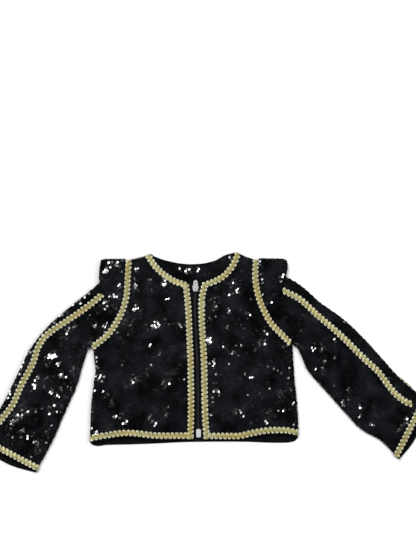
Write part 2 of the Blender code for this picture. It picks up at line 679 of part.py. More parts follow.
def edge_braid(name, sign, table, span, finish, collection):
    """The rim of a braid stripe on the far side of a sleeve, which shows round the sleeve's outer edge."""
    edges = curve(table, np.linspace(span[0], span[1], 15))
    line, inner = edges[:, :2], edges[:, 2:]
    points, ahead = even_steps(line, BRAID_PITCH / 2)
    outward = np.stack([-ahead[:, 1], ahead[:, 0]], axis=1)
    outward = outward * np.sign(np.dot(outward[0], line[0] - inner[0]))
    base = ROLL + CLOTH / 2 + BRAID_GAP + WRAP_GAP
    rings = []
    for k, (p, out) in enumerate(zip(points, outward)):
        crest = 52 if k % 2 == 0 else 34
        turns = np.radians([-28, 4, crest])
        spokes = [(base, t) for t in turns] + [(base + BRAID_THICK, t) for t in turns[::-1]]
        centre = p - out * ROLL
        rings.append([(*(centre + out * r * math.cos(t)), ROLL_LEVEL + r * math.sin(t)) for r, t in spokes])
    return strip(name, rings, finish, collection)


def prism(name, outline, low, high, finish, collection, place=(0.0, 0.0)):
    """A flat-topped piece: a plan outline raised between two heights."""
    plan = [(x + place[0], y + place[1]) for x, y in outline]
    return strip(name, [[(x, y, low) for x, y in plan], [(x, y, high) for x, y in plan]], finish, collection)


def side_prism(name, outline, width, x, y, finish, collection):
    """An outline in Y and Z, given a width along X."""
    ends = [[(x + side * width / 2, y + a, b) for a, b in outline] for side in (-1, 1)]
    return strip(name, ends, finish, collection)


def join(target, other, operation):
    """Works a Boolean into the target's own mesh, and removes the other object."""
    cut = target.modifiers.new("cut", "BOOLEAN")
    cut.operation = operation
    cut.object = other
    cut.solver = "EXACT"
    graph = bpy.context.evaluated_depsgraph_get()
    mesh = bpy.data.meshes.new_from_object(target.evaluated_get(graph))
    target.modifiers.clear()
    target.data = mesh
    bpy.data.objects.remove(other)


def zip_tape(name, sign, finish, collection):
    """One tape of the zip: a flat strip from the middle line to under its front."""
    middle = curve(ZIP_LINE, np.linspace(0.0, 1.0, 17))
    near = middle + np.array([sign * SEAM / 2, 0])
    far = middle + np.array([sign * TAPE_WIDTH, 0])
    grid = np.stack([near, far], axis=1)
    grid = np.concatenate([grid, np.full(grid.shape[:2] + (1,), TAPE_LEVEL)], axis=2)
    return wall(name, facing_up(grid, sign), finish, collection, thickness=TAPE_THICK)


def zip_base():
    """Height of the underside of the hard zip pieces, just over the tapes."""
    return TAPE_LEVEL + TAPE_THICK / 2 + SEAM


def zip_chain(finish, collection):
    """The closed row of teeth as one plain half-round bar, from the box to the slider."""
    run = ZIP_LINE[-1][1] - ZIP_LINE[0][1]
    low, high = BOX_LOW + BOX_LENGTH + SEAM, SLIDER_TOP_Y - SLIDER_LENGTH - SEAM
    middle = curve(ZIP_LINE, np.linspace(low / run, high / run, 17))
    half = [(CHAIN_WIDTH / 2 * math.cos(a), CHAIN_HEIGHT * math.sin(a)) for a in np.linspace(0, math.pi, 6)]
    rings = [[(m[0] + x, m[1], zip_base() + z) for x, z in half] for m in middle]
    return strip("zip_chain", rings, finish, collection)


def zip_box(finish, collection):
    """The box at the foot of an open-ended zip."""
    half, corner, low, high = BOX_WIDTH / 2, 1.2, BOX_LOW, BOX_LOW + BOX_LENGTH
    outline = [
        (-half + corner, low), (half - corner, low), (half, low + corner), (half, high - corner),
        (half - corner, high), (-half + corner, high), (-half, high - corner), (-half, low + corner),
    ]
    place = (ZIP_LINE[0][0], 0)
    made = prism("zip_box", outline, zip_base(), zip_base() + BOX_HEIGHT, finish, collection, place)
    bevel = made.modifiers.new("edges", "BEVEL")
    bevel.width = 0.5 * MM
    bevel.segments = 2
    bevel.limit_method = "ANGLE"
    return made


def slider_place():
    """Plan place of the slider's middle and the height of its pull's axis."""
    y = SLIDER_TOP_Y - SLIDER_LENGTH / 2
    x = curve(ZIP_LINE, np.array([y / ZIP_LINE[-1][1]]))[0][0]
    return x, y, zip_base() + SLIDER_HEIGHT + BRIDGE_WINDOW / 2


def zip_slider(finish, collection):
    """The slider: a body that is broad at its upper end, and a bridge that holds the pull."""
    x, y, axis_z = slider_place()
    half, foot = SLIDER_WIDTH / 2, SLIDER_WIDTH / 2 - 1.5
    low, high = -SLIDER_LENGTH / 2, SLIDER_LENGTH / 2
    outline = [
        (-foot, low), (foot, low), (half - 0.2, 0.0), (half, high - 2.4), (half - 1.6, high),
        (0.0, high - 1.1), (-half + 1.6, high), (-half, high - 2.4), (-half + 0.2, 0.0),
    ]
    body = prism("zip_slider", outline, zip_base(), zip_base() + SLIDER_HEIGHT, finish, collection, (x, y))
    inside = BRIDGE_WINDOW / 2
    span = inside + BRIDGE_WALL
    foot_z, top_z = axis_z - inside - 0.6, axis_z + span
    frame = [
        (-span, foot_z), (span, foot_z), (span, top_z - 0.7),
        (span - 0.7, top_z), (-span + 0.7, top_z), (-span, top_z - 0.7),
    ]
    window = [(a * inside, axis_z + b * inside) for a, b in ((-1, -1), (1, -1), (1, 1), (-1, 1))]
    bridge = side_prism("bridge", frame, BRIDGE_WIDTH, x, y, finish, collection)
    join(bridge, side_prism("window", window, BRIDGE_WIDTH * 2, x, y, finish, collection), "DIFFERENCE")
    join(body, bridge, "UNION")
    return body


def zip_pull(finish, collection):
    """The pull, turned up towards the neck: a round-ended tab with an eye that holds the bridge."""
    x, y, axis_z = slider_place()
    half = PULL_WIDTH / 2
    tip = [(half * math.cos(a), PULL_LENGTH - half + half * math.sin(a)) for a in np.linspace(0, math.pi, 9)]
    outline = [(-half + 0.4, -PULL_BAR / 2), (half - 0.4, -PULL_BAR / 2), (half, 0.6)] + tip + [(-half, 0.6)]
    low, high = -PULL_THICK / 2, PULL_THICK / 2
    tab = prism("zip_pull", outline, low, high, finish, collection)
    eye_half = BRIDGE_WIDTH / 2 + 0.7
    eye = [(-eye_half, PULL_BAR / 2), (eye_half, PULL_BAR / 2), (eye_half, 4.4), (-eye_half, 4.4)]
    join(tab, prism("eye", eye, low - 1, high + 1, finish, collection), "DIFFERENCE")
    hole = [(1.3 * math.cos(a), 8.0 + 1.3 * math.sin(a)) for a in np.linspace(0, 2 * math.pi, 11)[:-1]]
    join(tab, prism("hole", hole, low - 1, high + 1, finish, collection), "DIFFERENCE")
    tab.location = Vector((x, y, axis_z)) * MM
    return tab


def inside_of(path, line):
    """The part of a path that keeps the roll's radius away from a folded edge, given by two points on it."""
    fine = curve(path, np.linspace(0, 1, 600))
    return fine[from_line(fine, line[0], line[-1]) > ROLL + 0.1]


def half_braids(sign, word, curves, table, stripe, wing_table, tree, gold, collection):
    """All the braid of one half of the jacket."""
    side, armhole, edge, neck, shoulder, hem = curves
    reach = BRAID_WIDTH / 2 + BRAID_SCALLOP + SEAM
    inset = BRAID_INSET if sign < 0 else -BRAID_INSET
    rise = np.array(edge[-1], float) - np.array(edge[-2], float)
    slope = np.array(shoulder[-1], float) - np.array(shoulder[0], float)
    flank = np.array(side[1], float) - np.array(side[0], float)
    braid(f"front_braid_{word}", trimmed(beside(edge, inset), 0.6, 1.4), tree, gold, collection)
    path = trimmed(inside_of(beside(neck, inset), shoulder), BRAID_INSET + reach + 1.2, 0)
    ends = (facing(rise, path, 0), facing(slope, path, -1))
    braid(f"neck_braid_{word}", path, tree, gold, collection, wraps=(False, True), cuts=ends)
    path = trimmed(inside_of(beside(hem, -inset), side[:2]), BRAID_INSET + reach + 0.2, 0)
    ends = (None, facing(flank, path, -1))
    braid(f"hem_braid_{word}", path, tree, gold, collection, wraps=(False, True), cuts=ends)
    path = trimmed(inside_of(armhole, shoulder), 5.0, 0)
    ends = (None, facing(slope, path, -1))
    braid(f"armhole_braid_{word}", path, tree, gold, collection, wraps=(False, True), cuts=ends)
    last, before = np.array(table[-1], float), np.array(table[-2], float)
    outer, inner = last[:2] - before[:2], last[2:] - before[2:]
    axis = (outer + inner) / np.linalg.norm(outer + inner)
    cuff = [last[:2] - axis * BRAID_INSET, last[2:] - axis * BRAID_INSET]
    line = (cuff[1] - cuff[0]) / np.linalg.norm(cuff[1] - cuff[0])
    path = np.linspace(cuff[0] + line * (ROLL + 0.2), cuff[1] - line * (ROLL + 0.2), 20)
    ends = (facing(outer, path, 0), facing(inner, path, -1))
    braid(f"cuff_braid_{word}", path, tree, gold, collection, wraps=(True, True), cuts=ends)
    path = clear_of(stripe, wing_table, cuff[0], axis, reach)
    free = np.array(wing_table[4][2:], float) - np.array(wing_table[2][2:], float)
    ends = (facing(free, path, 0), facing(line, path, -1))
    braid(f"sleeve_braid_{word}", path, tree, gold, collection, cuts=ends)


def facing(direction, path, end):
    """A direction turned, where needed, to point to the left of a path at one of its ends."""
    ahead = path[-1] - path[-2] if end else path[1] - path[0]
    left = np.array([-ahead[1], ahead[0]])
    return direction * np.sign(direction @ left)


def clear_of(stripe, wing_table, cuff_point, axis, reach):
    """The part of a sleeve's stripe between the wing's free edge and the cuff's braid."""
    fine = curve(stripe, np.linspace(0, 1, 400))
    free = curve(wing_table, np.linspace(0, 1, 60))[:, 2:]
    away = np.array([np.linalg.norm(free - p, axis=1).min() for p in fine])
    short = (cuff_point - fine) @ axis
    begin = np.argmax(away > STRIPE_START)
    return fine[begin:][short[begin:] > reach]


def centred(collection):
    """Moves every piece so that the jacket's box stands centred on the origin."""
    bpy.context.view_layer.update()
    graph = bpy.context.evaluated_depsgraph_get()
    corners = []
    for item in collection.objects:
        shape = item.evaluated_get(graph).to_mesh()
        points = np.array([item.matrix_world @ v.co for v in shape.vertices])
        corners += [points.min(axis=0), points.max(axis=0)]
    low, high = np.min(corners, axis=0), np.max(corners, axis=0)
    shift = Vector((-(low[0] + high[0]) / 2, -(low[1] + high[1]) / 2, -low[2]))
    for item in collection.objects:
        if item.name == "zip_pull":
            item.location += shift
        else:
            item.data.transform(Matrix.Translation(shift))


def main():
    for item in list(bpy.data.objects):
        bpy.data.objects.remove(item)
    collection = bpy.data.collections.new("matador_jacket")
    bpy.context.scene.collection.children.link(collection)
    black = material("sequinned_cloth", BLACK, 0.35, 0.0)
    gold = material("gold_gimp", GOLD, 0.35, 0.8)
    steel = material("zip_metal", STEEL, 0.35, 1.0)
    tape = material("zip_tape", TAPE, 0.8, 0.0)
    right = (RIGHT_SIDE, RIGHT_ARMHOLE, RIGHT_FRONT_EDGE, RIGHT_NECK, RIGHT_SHOULDER, RIGHT_HEM)
    left = (LEFT_SIDE, LEFT_ARMHOLE, LEFT_FRONT_EDGE, LEFT_NECK, LEFT_SHOULDER, LEFT_HEM)
    back = back_grid()
    wall("back", back, black, collection)
    halves = (
        (-1, "right", right, RIGHT_SLEEVE, RIGHT_WING, RIGHT_STRIPE),
        (1, "left", left, LEFT_SLEEVE, LEFT_WING, LEFT_STRIPE),
    )
    cloth = []
    for sign, word, curves, table, _, _ in halves:
        front = front_grid(curves)
        tube = sleeve_grid(sign, table, curves[1], front, back)
        cloth.append(wall(f"front_{word}", facing_up(front, -sign), black, collection))
        cloth.append(wall(f"sleeve_{word}", facing_up(tube, sign), black, collection, closed=True))
    bpy.context.view_layer.update()
    tree = tree_of(cloth)
    for sign, word, curves, table, wing_table, stripe in halves:
        wing(f"wing_{word}", sign, wing_table, table, tree, black, collection)
        half_braids(sign, word, curves, table, stripe, wing_table, tree, gold, collection)
    edge_braid("back_sleeve_braid_left", 1, LEFT_SLEEVE, BACK_STRIPE_SPAN, gold, collection)
    zip_tape("zip_tape_right", -1, tape, collection)
    zip_tape("zip_tape_left", 1, tape, collection)
    zip_chain(tape, collection)
    zip_box(steel, collection)
    zip_slider(steel, collection)
    zip_pull(steel, collection)
    centred(collection)


main()
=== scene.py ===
import math
from functools import partial

import bpy
import numpy as np
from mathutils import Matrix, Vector


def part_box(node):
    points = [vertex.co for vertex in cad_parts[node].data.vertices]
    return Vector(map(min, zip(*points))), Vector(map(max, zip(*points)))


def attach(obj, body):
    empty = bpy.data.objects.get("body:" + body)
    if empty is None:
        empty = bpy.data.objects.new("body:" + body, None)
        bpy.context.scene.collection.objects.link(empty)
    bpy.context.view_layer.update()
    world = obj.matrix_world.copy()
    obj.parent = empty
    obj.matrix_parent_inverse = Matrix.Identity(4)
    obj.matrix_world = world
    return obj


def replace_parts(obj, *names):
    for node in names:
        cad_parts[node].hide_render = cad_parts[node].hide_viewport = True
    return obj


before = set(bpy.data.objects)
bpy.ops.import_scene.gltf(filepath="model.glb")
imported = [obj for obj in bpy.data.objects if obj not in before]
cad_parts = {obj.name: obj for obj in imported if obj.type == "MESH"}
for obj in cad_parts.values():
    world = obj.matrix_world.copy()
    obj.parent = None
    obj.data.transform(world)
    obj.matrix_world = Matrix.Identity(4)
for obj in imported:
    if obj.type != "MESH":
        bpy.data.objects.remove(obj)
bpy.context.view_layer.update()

# The jacket is drawn in millimetres, with X = 0 near the zip, Y = 0 at the hem and Z = 0 on the table.
# Right and left are the wearer's. to_row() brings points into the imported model's frame.
MM = 0.001
SEED = 7
CLOTH = 2.0  # wall of the cloth in the solids, and the wall drawn here with its sequins
NET = 1.5  # wall of the net and lining without the sequins
SEAM = 0.35
REST = CLOTH / 2
FRONT_LEVEL = 4.6
ROLL = 2.9
ROLL_LEVEL = REST + ROLL
ROLL_FADE = 28.0
BRAID_WIDTH = 11.0  # over the loops
BRAID_PITCH = 7.0
BRAID_INSET = 6.6
BRAID_LIFT = 1.9  # middle of the gimp over the middle of the cloth
BRAID_LAP = 1.1  # how much higher one braid lies where it crosses another
CORD = 0.43  # radius of one cord of the gimp
BOX_TOP = 19.2
SLIDER_FOOT = 243.6
BOX_HALF = 3.8
BOX_FOOT = 5.6
ZIP_BASE = 3.55  # underside of the hard zip pieces

RIGHT_SIDE = [
    (-169.4, -3), (-168.8, 31), (-167, 66), (-163, 100), (-161, 118), (-163.6, 134), (-165.4, 153.3),
]
RIGHT_ARMHOLE = [
    (-165.4, 153.3), (-144.5, 170.9), (-131, 189.3), (-119.8, 212.2), (-113.1, 237.8), (-112, 260.8),
    (-110, 294),
]
RIGHT_FRONT_EDGE = [
    (-3.6, 1.6), (-2.8, 34), (-2.6, 67), (-3, 100), (-3.6, 136), (-5, 166), (-6.3, 200), (-8.5, 231),
    (-11.5, 257.5),
]
RIGHT_NECK = [
    (-11.5, 257.5), (-19.2, 260.9), (-31.7, 265.7), (-44.5, 273.2), (-56.8, 283.4), (-65.1, 292.8),
    (-72, 304),
]
RIGHT_SHOULDER = [(-72, 304), (-95, 298), (-110, 294)]
RIGHT_HEM = [
    (-3.6, 1.6), (-42, 1.6), (-66, 1.8), (-85, 3.6), (-106, 5.6), (-122, 5.2), (-142, 2.3), (-158, -0.5),
    (-169.4, -3),
]
LEFT_SIDE = [
    (160.9, 6), (160.9, 31), (158.7, 66), (155.3, 100), (154.5, 116), (153.1, 134.5), (152.3, 155.8),
]
LEFT_ARMHOLE = [
    (152.3, 155.8), (136, 173.2), (122.6, 187), (109.1, 209.9), (100.2, 232.9), (94.6, 260.8),
    (95.2, 294.5),
]
LEFT_FRONT_EDGE = [
    (9.6, 1.6), (7, 39), (6, 72), (5.6, 105), (4.6, 136), (2.8, 169), (1.2, 200), (1.6, 233), (6.9, 259),
]
LEFT_NECK = [
    (6.9, 259), (14.5, 261.4), (23.5, 265), (32.5, 269.5), (41, 275.5), (48, 283.3), (54.3, 293), (60, 308),
]
LEFT_SHOULDER = [(60, 308), (78.4, 301), (95.2, 294.5)]
LEFT_HEM = [
    (9.6, 1.6), (53, 1.1), (69, 1.3), (83, 4.4), (99, 7.5), (114, 9.8), (130, 10.3), (144, 9.8), (160.9, 6),
]
BACK_NECK = [
    (-72, 304), (-56, 297.5), (-36.8, 292.6), (-10, 289.5), (11.2, 291), (30.4, 296), (47, 305), (60, 308),
]
BACK_HEM = [
    (-169.4, -3), (-165, -6), (-142, -5.6), (-86, -4.1), (-11, -0.8), (37, -0.3), (77, -0.5), (130, -2.1),
    (149, -1.3), (158, 1.5), (160.9, 6),
]
# A sleeve from its head to its cuff: x and y of its outer edge, then x and y of its inner edge.
RIGHT_SLEEVE = [
    (-110, 294, -168.0, 154.6),
    (-138, 277, -173.2, 150.8),
    (-169, 246, -178, 144),
    (-202, 218.5, -183.5, 126),
    (-234, 190.5, -188.5, 105),
    (-265, 151, -197.5, 80),
    (-287.5, 105, -211.5, 48),
    (-308, 62, -228, 8),
    (-330, 26, -243.5, -23),
    (-348, -2, -257, -50),
]
LEFT_SLEEVE = [
    (95.2, 294.5, 154.9, 157.2),
    (127, 276.5, 161.0, 153),
    (161, 257, 168.5, 140),
    (197.5, 225, 178, 117),
    (236, 196.5, 194, 97),
    (266.5, 167, 212, 77),
    (295, 134.5, 238, 47),
    (319.5, 106.5, 265, 19),
    (345, 83, 296, 1),
    (370, 63, 323, -29),
]
# A wing from its fold down: x and y of its seam, then x and y of its free edge.
RIGHT_WING = [
    (-119.8, 296.8, -154.5, 297.5),
    (-118.5, 283, -156.8, 281),
    (-119.6, 268, -157.4, 264),
    (-120.2, 252, -155, 250),
    (-121.5, 238, -149.5, 236),
    (-125, 224, -142, 223),
    (-129.5, 212, -133, 211),
]
LEFT_WING = [
    (106.2, 297.6, 144.6, 298),
    (104.2, 284, 146.6, 284),
    (103.0, 268, 143.4, 268),
    (104, 254, 139, 254),
    (107, 240, 133.5, 242),
    (111, 228, 126, 230),
    (116, 217, 119.5, 219),
]
WING_FOLD = (3.6, 1.9)
WING_LIFT = CLOTH + 0.7
WING_REACH = 4.5
WING_TUCK = 0.7  # how far a wing goes in under the armhole braid
WING_CORNER = 2.6
WING_SEAM = (-0.12, 1.1)  # share of its width at which a wing's last line lies under the braid, and its lift
FOLD_COLUMNS = ("x0", "y0", "x1", "y1", "height", "half_width", "bow")
FOLDS = [
    (-118, 172, -22, 180, 2.6, 13, 5),
    (-100, 152, -18, 157, -1.2, 7, 2),
    (-98, 247, -22, 238, 2.2, 12, -4),
    (-150, 112, -128, 62, 3.0, 10, 5),
    (-128, 58, -68, 104, 2.4, 11, 6),
    (-60, 70, -20, 118, 1.8, 12, -4),
    (-80, 30, -30, 22, 1.8, 11, 3),
    (-112, -6, -108, 44, 2.6, 26, 0),
    (15, 223, 86, 203, 3.0, 10, 4),
    (30, 248, 78, 238, 2.2, 9, -3),
    (20, 167, 80, 131, 3.2, 10, -5),
    (20, 128, 52, 112, 2.0, 8, 2),
    (84, 102, 126, 84, 2.4, 9, 3),
    (110, 178, 141, 120, 3.0, 9, -5),
    (22, 72, 50, 48, 2.6, 9, 2),
    (62, 54, 98, 18, 3.4, 11, -4),
    (126, -4, 122, 46, 2.8, 26, 0),
    (-230, 142, -201, 84, 4.2, 11, -5),
    (-212, 172, -166, 180, 2.8, 12, 6),
    (-262, 86, -222, 66, 2.8, 11, 6),
    (-300, 18, -248, 36, 3.0, 17, 5),
    (-262, 118, -244, 96, -1.2, 11, 0),
    (-306, -32, -292, 6, 2.2, 26, 0),
    (208, 160, 205, 102, 2.4, 7, 3),
    (226, 150, 228, 78, 2.6, 7, -3),
    (245, 138, 247, 58, 2.6, 7, 3),
    (264, 118, 268, 40, 2.4, 7, -2),
    (284, 98, 289, 26, 2.2, 7, 2),
    (352, 12, 330, 26, 2.4, 26, 0),
]
FOLD_CLEAR = 16.0
# Small puckers in the net, where the sequins lean together: x, y and radius.
PUCKERS = [
    (-227, 137, 6), (-221, 123, 6), (-213, 106, 7), (-205, 90, 6), (-200, 80, 5), (-232, 79, 6),
    (-221, 72, 6), (-293, 28, 7), (-277, 15, 7), (-283, 38, 6), (-267, 5, 6), (-258, 100, 5),
    (-141, 289, 3), (-126, 252, 6), (-142, 232, 7), (-147, 224, 6), (-131, 236, 6), (-98, 278, 6),
    (-53, 258, 5), (-48, 231, 5), (-165, 188, 6), (-147, 188, 5), (-98, 216, 6), (-66, 188, 7),
    (-24, 188, 6), (-77, 155, 5), (-24, 100, 5), (-154, 101, 7), (-149, 77, 7), (-131, 39, 5),
    (-114, 29, 5), (-66, 28, 6), (-160, 13, 6), (61, 258, 6), (50, 242, 7), (66, 245, 5), (27, 216, 5),
    (50, 211, 6), (82, 204, 6), (21, 162, 5), (43, 152, 7), (59, 142, 5), (26, 123, 7), (114, 88, 6),
    (32, 79, 7), (24, 61, 7), (74, 43, 7), (112, 28, 7), (115, 175, 5), (147, 119, 5), (187, 149, 5),
    (189, 116, 5), (234, 61, 5), (264, 39, 5), (278, 25, 6), (-14, 278, 6), (2, 280, 5), (51, 299, 5),
    (-27, 283, 5),
]
LEAN = np.array([-0.30, 0.13])  # the slope to which a pucker turns them
# Places where the sequins lie level: x, y and radius.
LEVEL_SPOTS = [
    (-197, 139, 21), (-186, 157, 12), (243, 112, 26), (268, 88, 22), (-92, 224, 12), (-112, 176, 14),
]
# How far each panel's sequins tilt by chance, in degrees.
TILT = {
    "back_sequins": 4.2, "front_sequins_right": 3.0, "front_sequins_left": 5.4, "sleeve_sequins_right": 4.2,
    "sleeve_sequins_left": 3.3, "wing_sequins_right": 3.2, "wing_sequins_left": 4.6,
}
RIGHT_STRIPE = [
    (-151.5, 239), (-169.6, 223.5), (-209.6, 194.2), (-233, 178.4), (-247, 165), (-255.4, 149.6),
    (-262, 128), (-280, 91.8), (-296.5, 55), (-310, 37), (-327, 15),
]
LEFT_STRIPE = [
    (138, 245.5), (161, 233.9), (196.2, 202.5), (231.4, 171.2), (271.4, 130.4), (292.5, 110), (306.6, 90),
    (320.6, 73.5), (334.7, 63), (345, 58.5),
]
CUFF_OVERHANG = 9.0
EDGE_TURNS = (-14, 10)  # rows of sequins round a folded edge, in degrees over the level
EDGE_SPLAY = 14.0  # how far in from the end of a row its sequins splay
EDGE_LEVEL = 0.6  # how much they level out there
ARMPIT_TRIM = {"right": 0.5, "left": 2.5}  # how far short of the armpit an armhole braid starts
# Shares of a seam or sleeve, between which its folded edge carries sequins.
SIDE_SPAN = (0.08, 0.985)
OUTER_SPAN = (0.17, 0.962)
INNER_SPAN = (0.13, 0.958)
BACK_STRIPE_SPAN = (0.80, 0.875)  # shares of the left sleeve where the stripe on its back shows
CUFF_TUCK = 0.3  # how far a sleeve's stripe goes in under its cuff braid
ZIP_LINE = [
    (3.0, 0), (2.2, 39), (1.8, 72), (1.3, 105), (0.5, 136), (-1.1, 169), (-2.6, 200), (-2.8, 231),
    (-1.6, 259),
]
ARMPIT_ROW = 0.5
NECK_STEP = 0.62
NECK_ROW = ARMPIT_ROW + (1 - ARMPIT_ROW) * NECK_STEP
ARMHOLE_STEPS = np.unique(np.concatenate([[0.010, 0.026, NECK_STEP], np.linspace(0.05, 0.94, 46)]))
ROLL_TURNS = (0, 14, 28, 42, 56)
ROLL_HIP = 1.0
ARMPIT_EASE = np.array([[1.8], [4.0], [6.5], [8.0]])
SECTIONS = 130
HEAD_BEND, HEAD_SETTLE, CUFF_START = 0.34, 0.14, 0.82  # shares of a sleeve's length
PITCH, ROW_PITCH = 3.9, 3.4  # the sequins' spacing along their rows, and between rows
SEQUIN = 4.1  # across its corners
SEQUIN_LIFT = 0.95

# The photograph's view: what it looks at, from how high and how far, and through which lens.
AIM = (18.0, 266.8, 5.0)
ELEVATION = math.radians(78)
DISTANCE = 5.92
LENS, SENSOR = 238.2, 36.0

WHITE = (1.0, 1.0, 1.0)
# The gold's colours, in order: the painted highlight on the cords' tops, the painted shade down their flanks,
# a cloudy tint of its own, and the braid's middle, painted darker than the painted highlight on the loops'
# outer ends.
GOLD = (1.0, 0.99, 0.80)
GOLD_FLANK_PAINTED_SHADE = (0.06, 0.045, 0.008)
GOLD_CLOUD = (1.0, 0.88, 0.70)
GOLD_MIDDLE_PAINTED_SHADE = (0.60, 0.565, 0.26)
SEQUIN_DARK = (0.0004, 0.0007, 0.0009)
SEQUIN_PALE = (0.0095, 0.0105, 0.0130)

# Where the drawing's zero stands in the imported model: the zip's box is in both.
BOX_CORNER = np.array([ZIP_LINE[0][0] - BOX_HALF, BOX_FOOT])
SHIFT = np.array([*(np.array(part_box("zip_box")[0][:2]) - BOX_CORNER * MM), 0.0])


def to_row(points):
    """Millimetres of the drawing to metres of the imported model: scaled, then moved by SHIFT."""
    return np.asarray(points, float) * MM + SHIFT


def smoothstep(value):
    """0 below 0, 1 above 1, and 3t^2 - 2t^3 between."""
    t = np.clip(value, 0.0, 1.0)
    return t * t * (3.0 - 2.0 * t)


def unit(vectors):
    """The same vectors at length 1."""
    return vectors / np.maximum(np.linalg.norm(vectors, axis=-1, keepdims=True), 1e-9)


def lengths(points):
    """How far along a line each of its points lies."""
    return np.concatenate([[0.0], np.cumsum(np.linalg.norm(np.diff(points, axis=0), axis=1))])


def read(at, run, table):
    """The rows of a table at lengths along it, straight between its entries, which lie at run."""
    return np.stack([np.interp(at, run, column) for column in table.T], axis=1)


def headings(line):
    """Unit directions along a line in plan, and the same turned a quarter to the left."""
    ahead = unit(np.gradient(line, axis=0))
    return ahead, np.stack([-ahead[:, 1], ahead[:, 0]], axis=1)


def curve(points, share):
    """A cubic through the points with their finite-difference slopes, read at shares of its length."""
    p = np.asarray(points, float)
    at = lengths(p)
    at /= at[-1]
    slope = np.gradient(p, at, axis=0)
    t = np.clip(np.asarray(share, float), 0.0, 1.0)
    i = np.clip(np.searchsorted(at, t, side="right") - 1, 0, len(at) - 2)
    step = (at[i + 1] - at[i])[..., None]
    f = (t - at[i])[..., None] / step
    return (
        (2 * f**3 - 3 * f**2 + 1) * p[i]
        + (f**3 - 2 * f**2 + f) * step * slope[i]
        + (3 * f**2 - 2 * f**3) * p[i + 1]
        + (f**3 - f**2) * step * slope[i + 1]
    )


def two_curves(low, high, corner, share):
    """One curve up to the corner share, and the other from there on."""
    share = np.asarray(share, float)
    first = curve(low, share / corner)
    second = curve(high, (share - corner) / (1.0 - corner))
    return np.where((share <= corner)[..., None], first, second)


def coons(bottom, top, start, end, u, v):
    """A Coons patch: the plan inside four boundary curves, u across and v upwards."""
    b, t, s, e = bottom(u), top(u), start(v), end(v)
    ends = np.array([0.0, 1.0])
    low, high = bottom(ends), top(ends)
    u, v = u[..., None], v[..., None]
    low_line = (1 - u) * low[0] + u * low[1]
    high_line = (1 - u) * high[0] + u * high[1]
    return (1 - v) * (b - low_line) + v * (t - high_line) + (1 - u) * s + u * e


def fold_height(x, y):
    """The upper wall's ridges: each is height * exp(-(across / half width)^2), flat-topped along its run."""
    total = np.zeros_like(x)
    for row in FOLDS:
        fold = dict(zip(FOLD_COLUMNS, row))
        run = np.array([fold["x1"] - fold["x0"], fold["y1"] - fold["y0"]])
        length = np.linalg.norm(run)
        run = run / length
        along = ((x - fold["x0"]) * run[0] + (y - fold["y0"]) * run[1]) / length
        bow = fold["bow"] * 4 * along * (1 - along)
        across = (y - fold["y0"]) * run[0] - (x - fold["x0"]) * run[1] - bow
        ends = 1.0 / (1.0 + (2 * along - 1) ** 8)
        total += fold["height"] * ends * np.exp(-((across / fold["half_width"]) ** 2))
    return total


def crease_height(x, y):
    """Small creases: a sum of sine waves 9 to 40 mm long in mixed directions, bent by each other."""
    rng = np.random.default_rng(SEED)
    total = np.zeros_like(x)
    for length in (40, 31, 24, 18, 14, 11, 9):
        turn, phase, bend = rng.uniform(0, math.pi), rng.uniform(0, 6.28), rng.uniform(0, 6.28)
        along = x * math.cos(turn) + y * math.sin(turn)
        aside = y * math.cos(turn) - x * math.sin(turn)
        sway = 1.6 * np.sin(aside * 2 * math.pi / (3.1 * length) + bend)
        total += np.sin(along * 2 * math.pi / length + phase + sway) * length * 0.008
    return total


def upper_level(distance):
    """Middle height of the upper wall at a distance in from a rolled edge."""
    d = np.clip(distance, 0.0, ROLL)
    roll = ROLL_LEVEL + np.sqrt(np.maximum(ROLL**2 - (ROLL - d) ** 2, 0.0))
    crown = REST + 2 * ROLL
    fall = crown - (crown - FRONT_LEVEL) * smoothstep((distance - ROLL) / ROLL_FADE)
    return np.where(distance < ROLL, roll, fall)


def lower_level(distance):
    """Middle height of the lower wall at a distance in from a rolled edge."""
    d = np.clip(distance, 0.0, ROLL)
    return ROLL_LEVEL - np.sqrt(np.maximum(ROLL**2 - (ROLL - d) ** 2, 0.0))


def from_line(points, a, b):
    """Distance of plan points from the line through a and b."""
    a, b = np.array(a, float), np.array(b, float)
    run = (b - a) / np.linalg.norm(b - a)
    return np.abs((points[..., 1] - a[1]) * run[0] - (points[..., 0] - a[0]) * run[1])


def from_side(points, side):
    """Distance of plan points in from a side seam, which is carried straight up past the armpit."""
    table = np.array(side, float)
    return np.abs(points[..., 0] - np.interp(points[..., 1], table[:, 1], table[:, 0]))


def from_shoulder(plan, shoulder):
    """Distance from a shoulder seam, which ends at the neck."""
    inside = np.sort([shoulder[0][0], shoulder[-1][0]])
    past = np.maximum(inside[0] - plan[..., 0], plan[..., 0] - inside[1])
    return np.hypot(from_line(plan, shoulder[0], shoulder[-1]), np.maximum(past, 0.0))


def folds_at(plan, inwards):
    """All folds and creases of the upper wall, fading to nothing at a rolled edge."""
    x, y = plan[..., 0], plan[..., 1]
    fade = smoothstep((inwards - ROLL) / FOLD_CLEAR)
    return (fold_height(x, y) + crease_height(x, y)) * fade


def rim_distances(rolled):
    """Distances in from an edge of its last lines: ROLL (1 - sin turn) for each turn, then the edge twice."""
    down = [np.full(len(rolled), ROLL * (1 - math.sin(math.radians(turn)))) for turn in ROLL_TURNS]
    return np.stack(down + [np.where(rolled, 0.0, 0.2), np.zeros(len(rolled))], axis=1)


def plan_rows():
    """Rows of a body panel, hem to shoulder, with every armhole sample among them."""
    below = list(np.linspace(0.0, ARMPIT_ROW, 62))
    above = [ARMPIT_ROW + (1 - ARMPIT_ROW) * step for step in ARMHOLE_STEPS]
    return np.array(below + above + [1.0])


def armpit_number():
    """The number of the row of a body panel at which its armhole starts."""
    return len(plan_rows()) - len(ARMHOLE_STEPS) - 2


def shoulder_rows(plan, rolled):
    """Spreads the last row over the distances of the rim."""
    last, before = plan[-1], plan[-2]
    rows = [last + unit(before - last) * d[:, None] for d in rim_distances(rolled).T]
    return np.concatenate([plan[:-1], np.array(rows)])


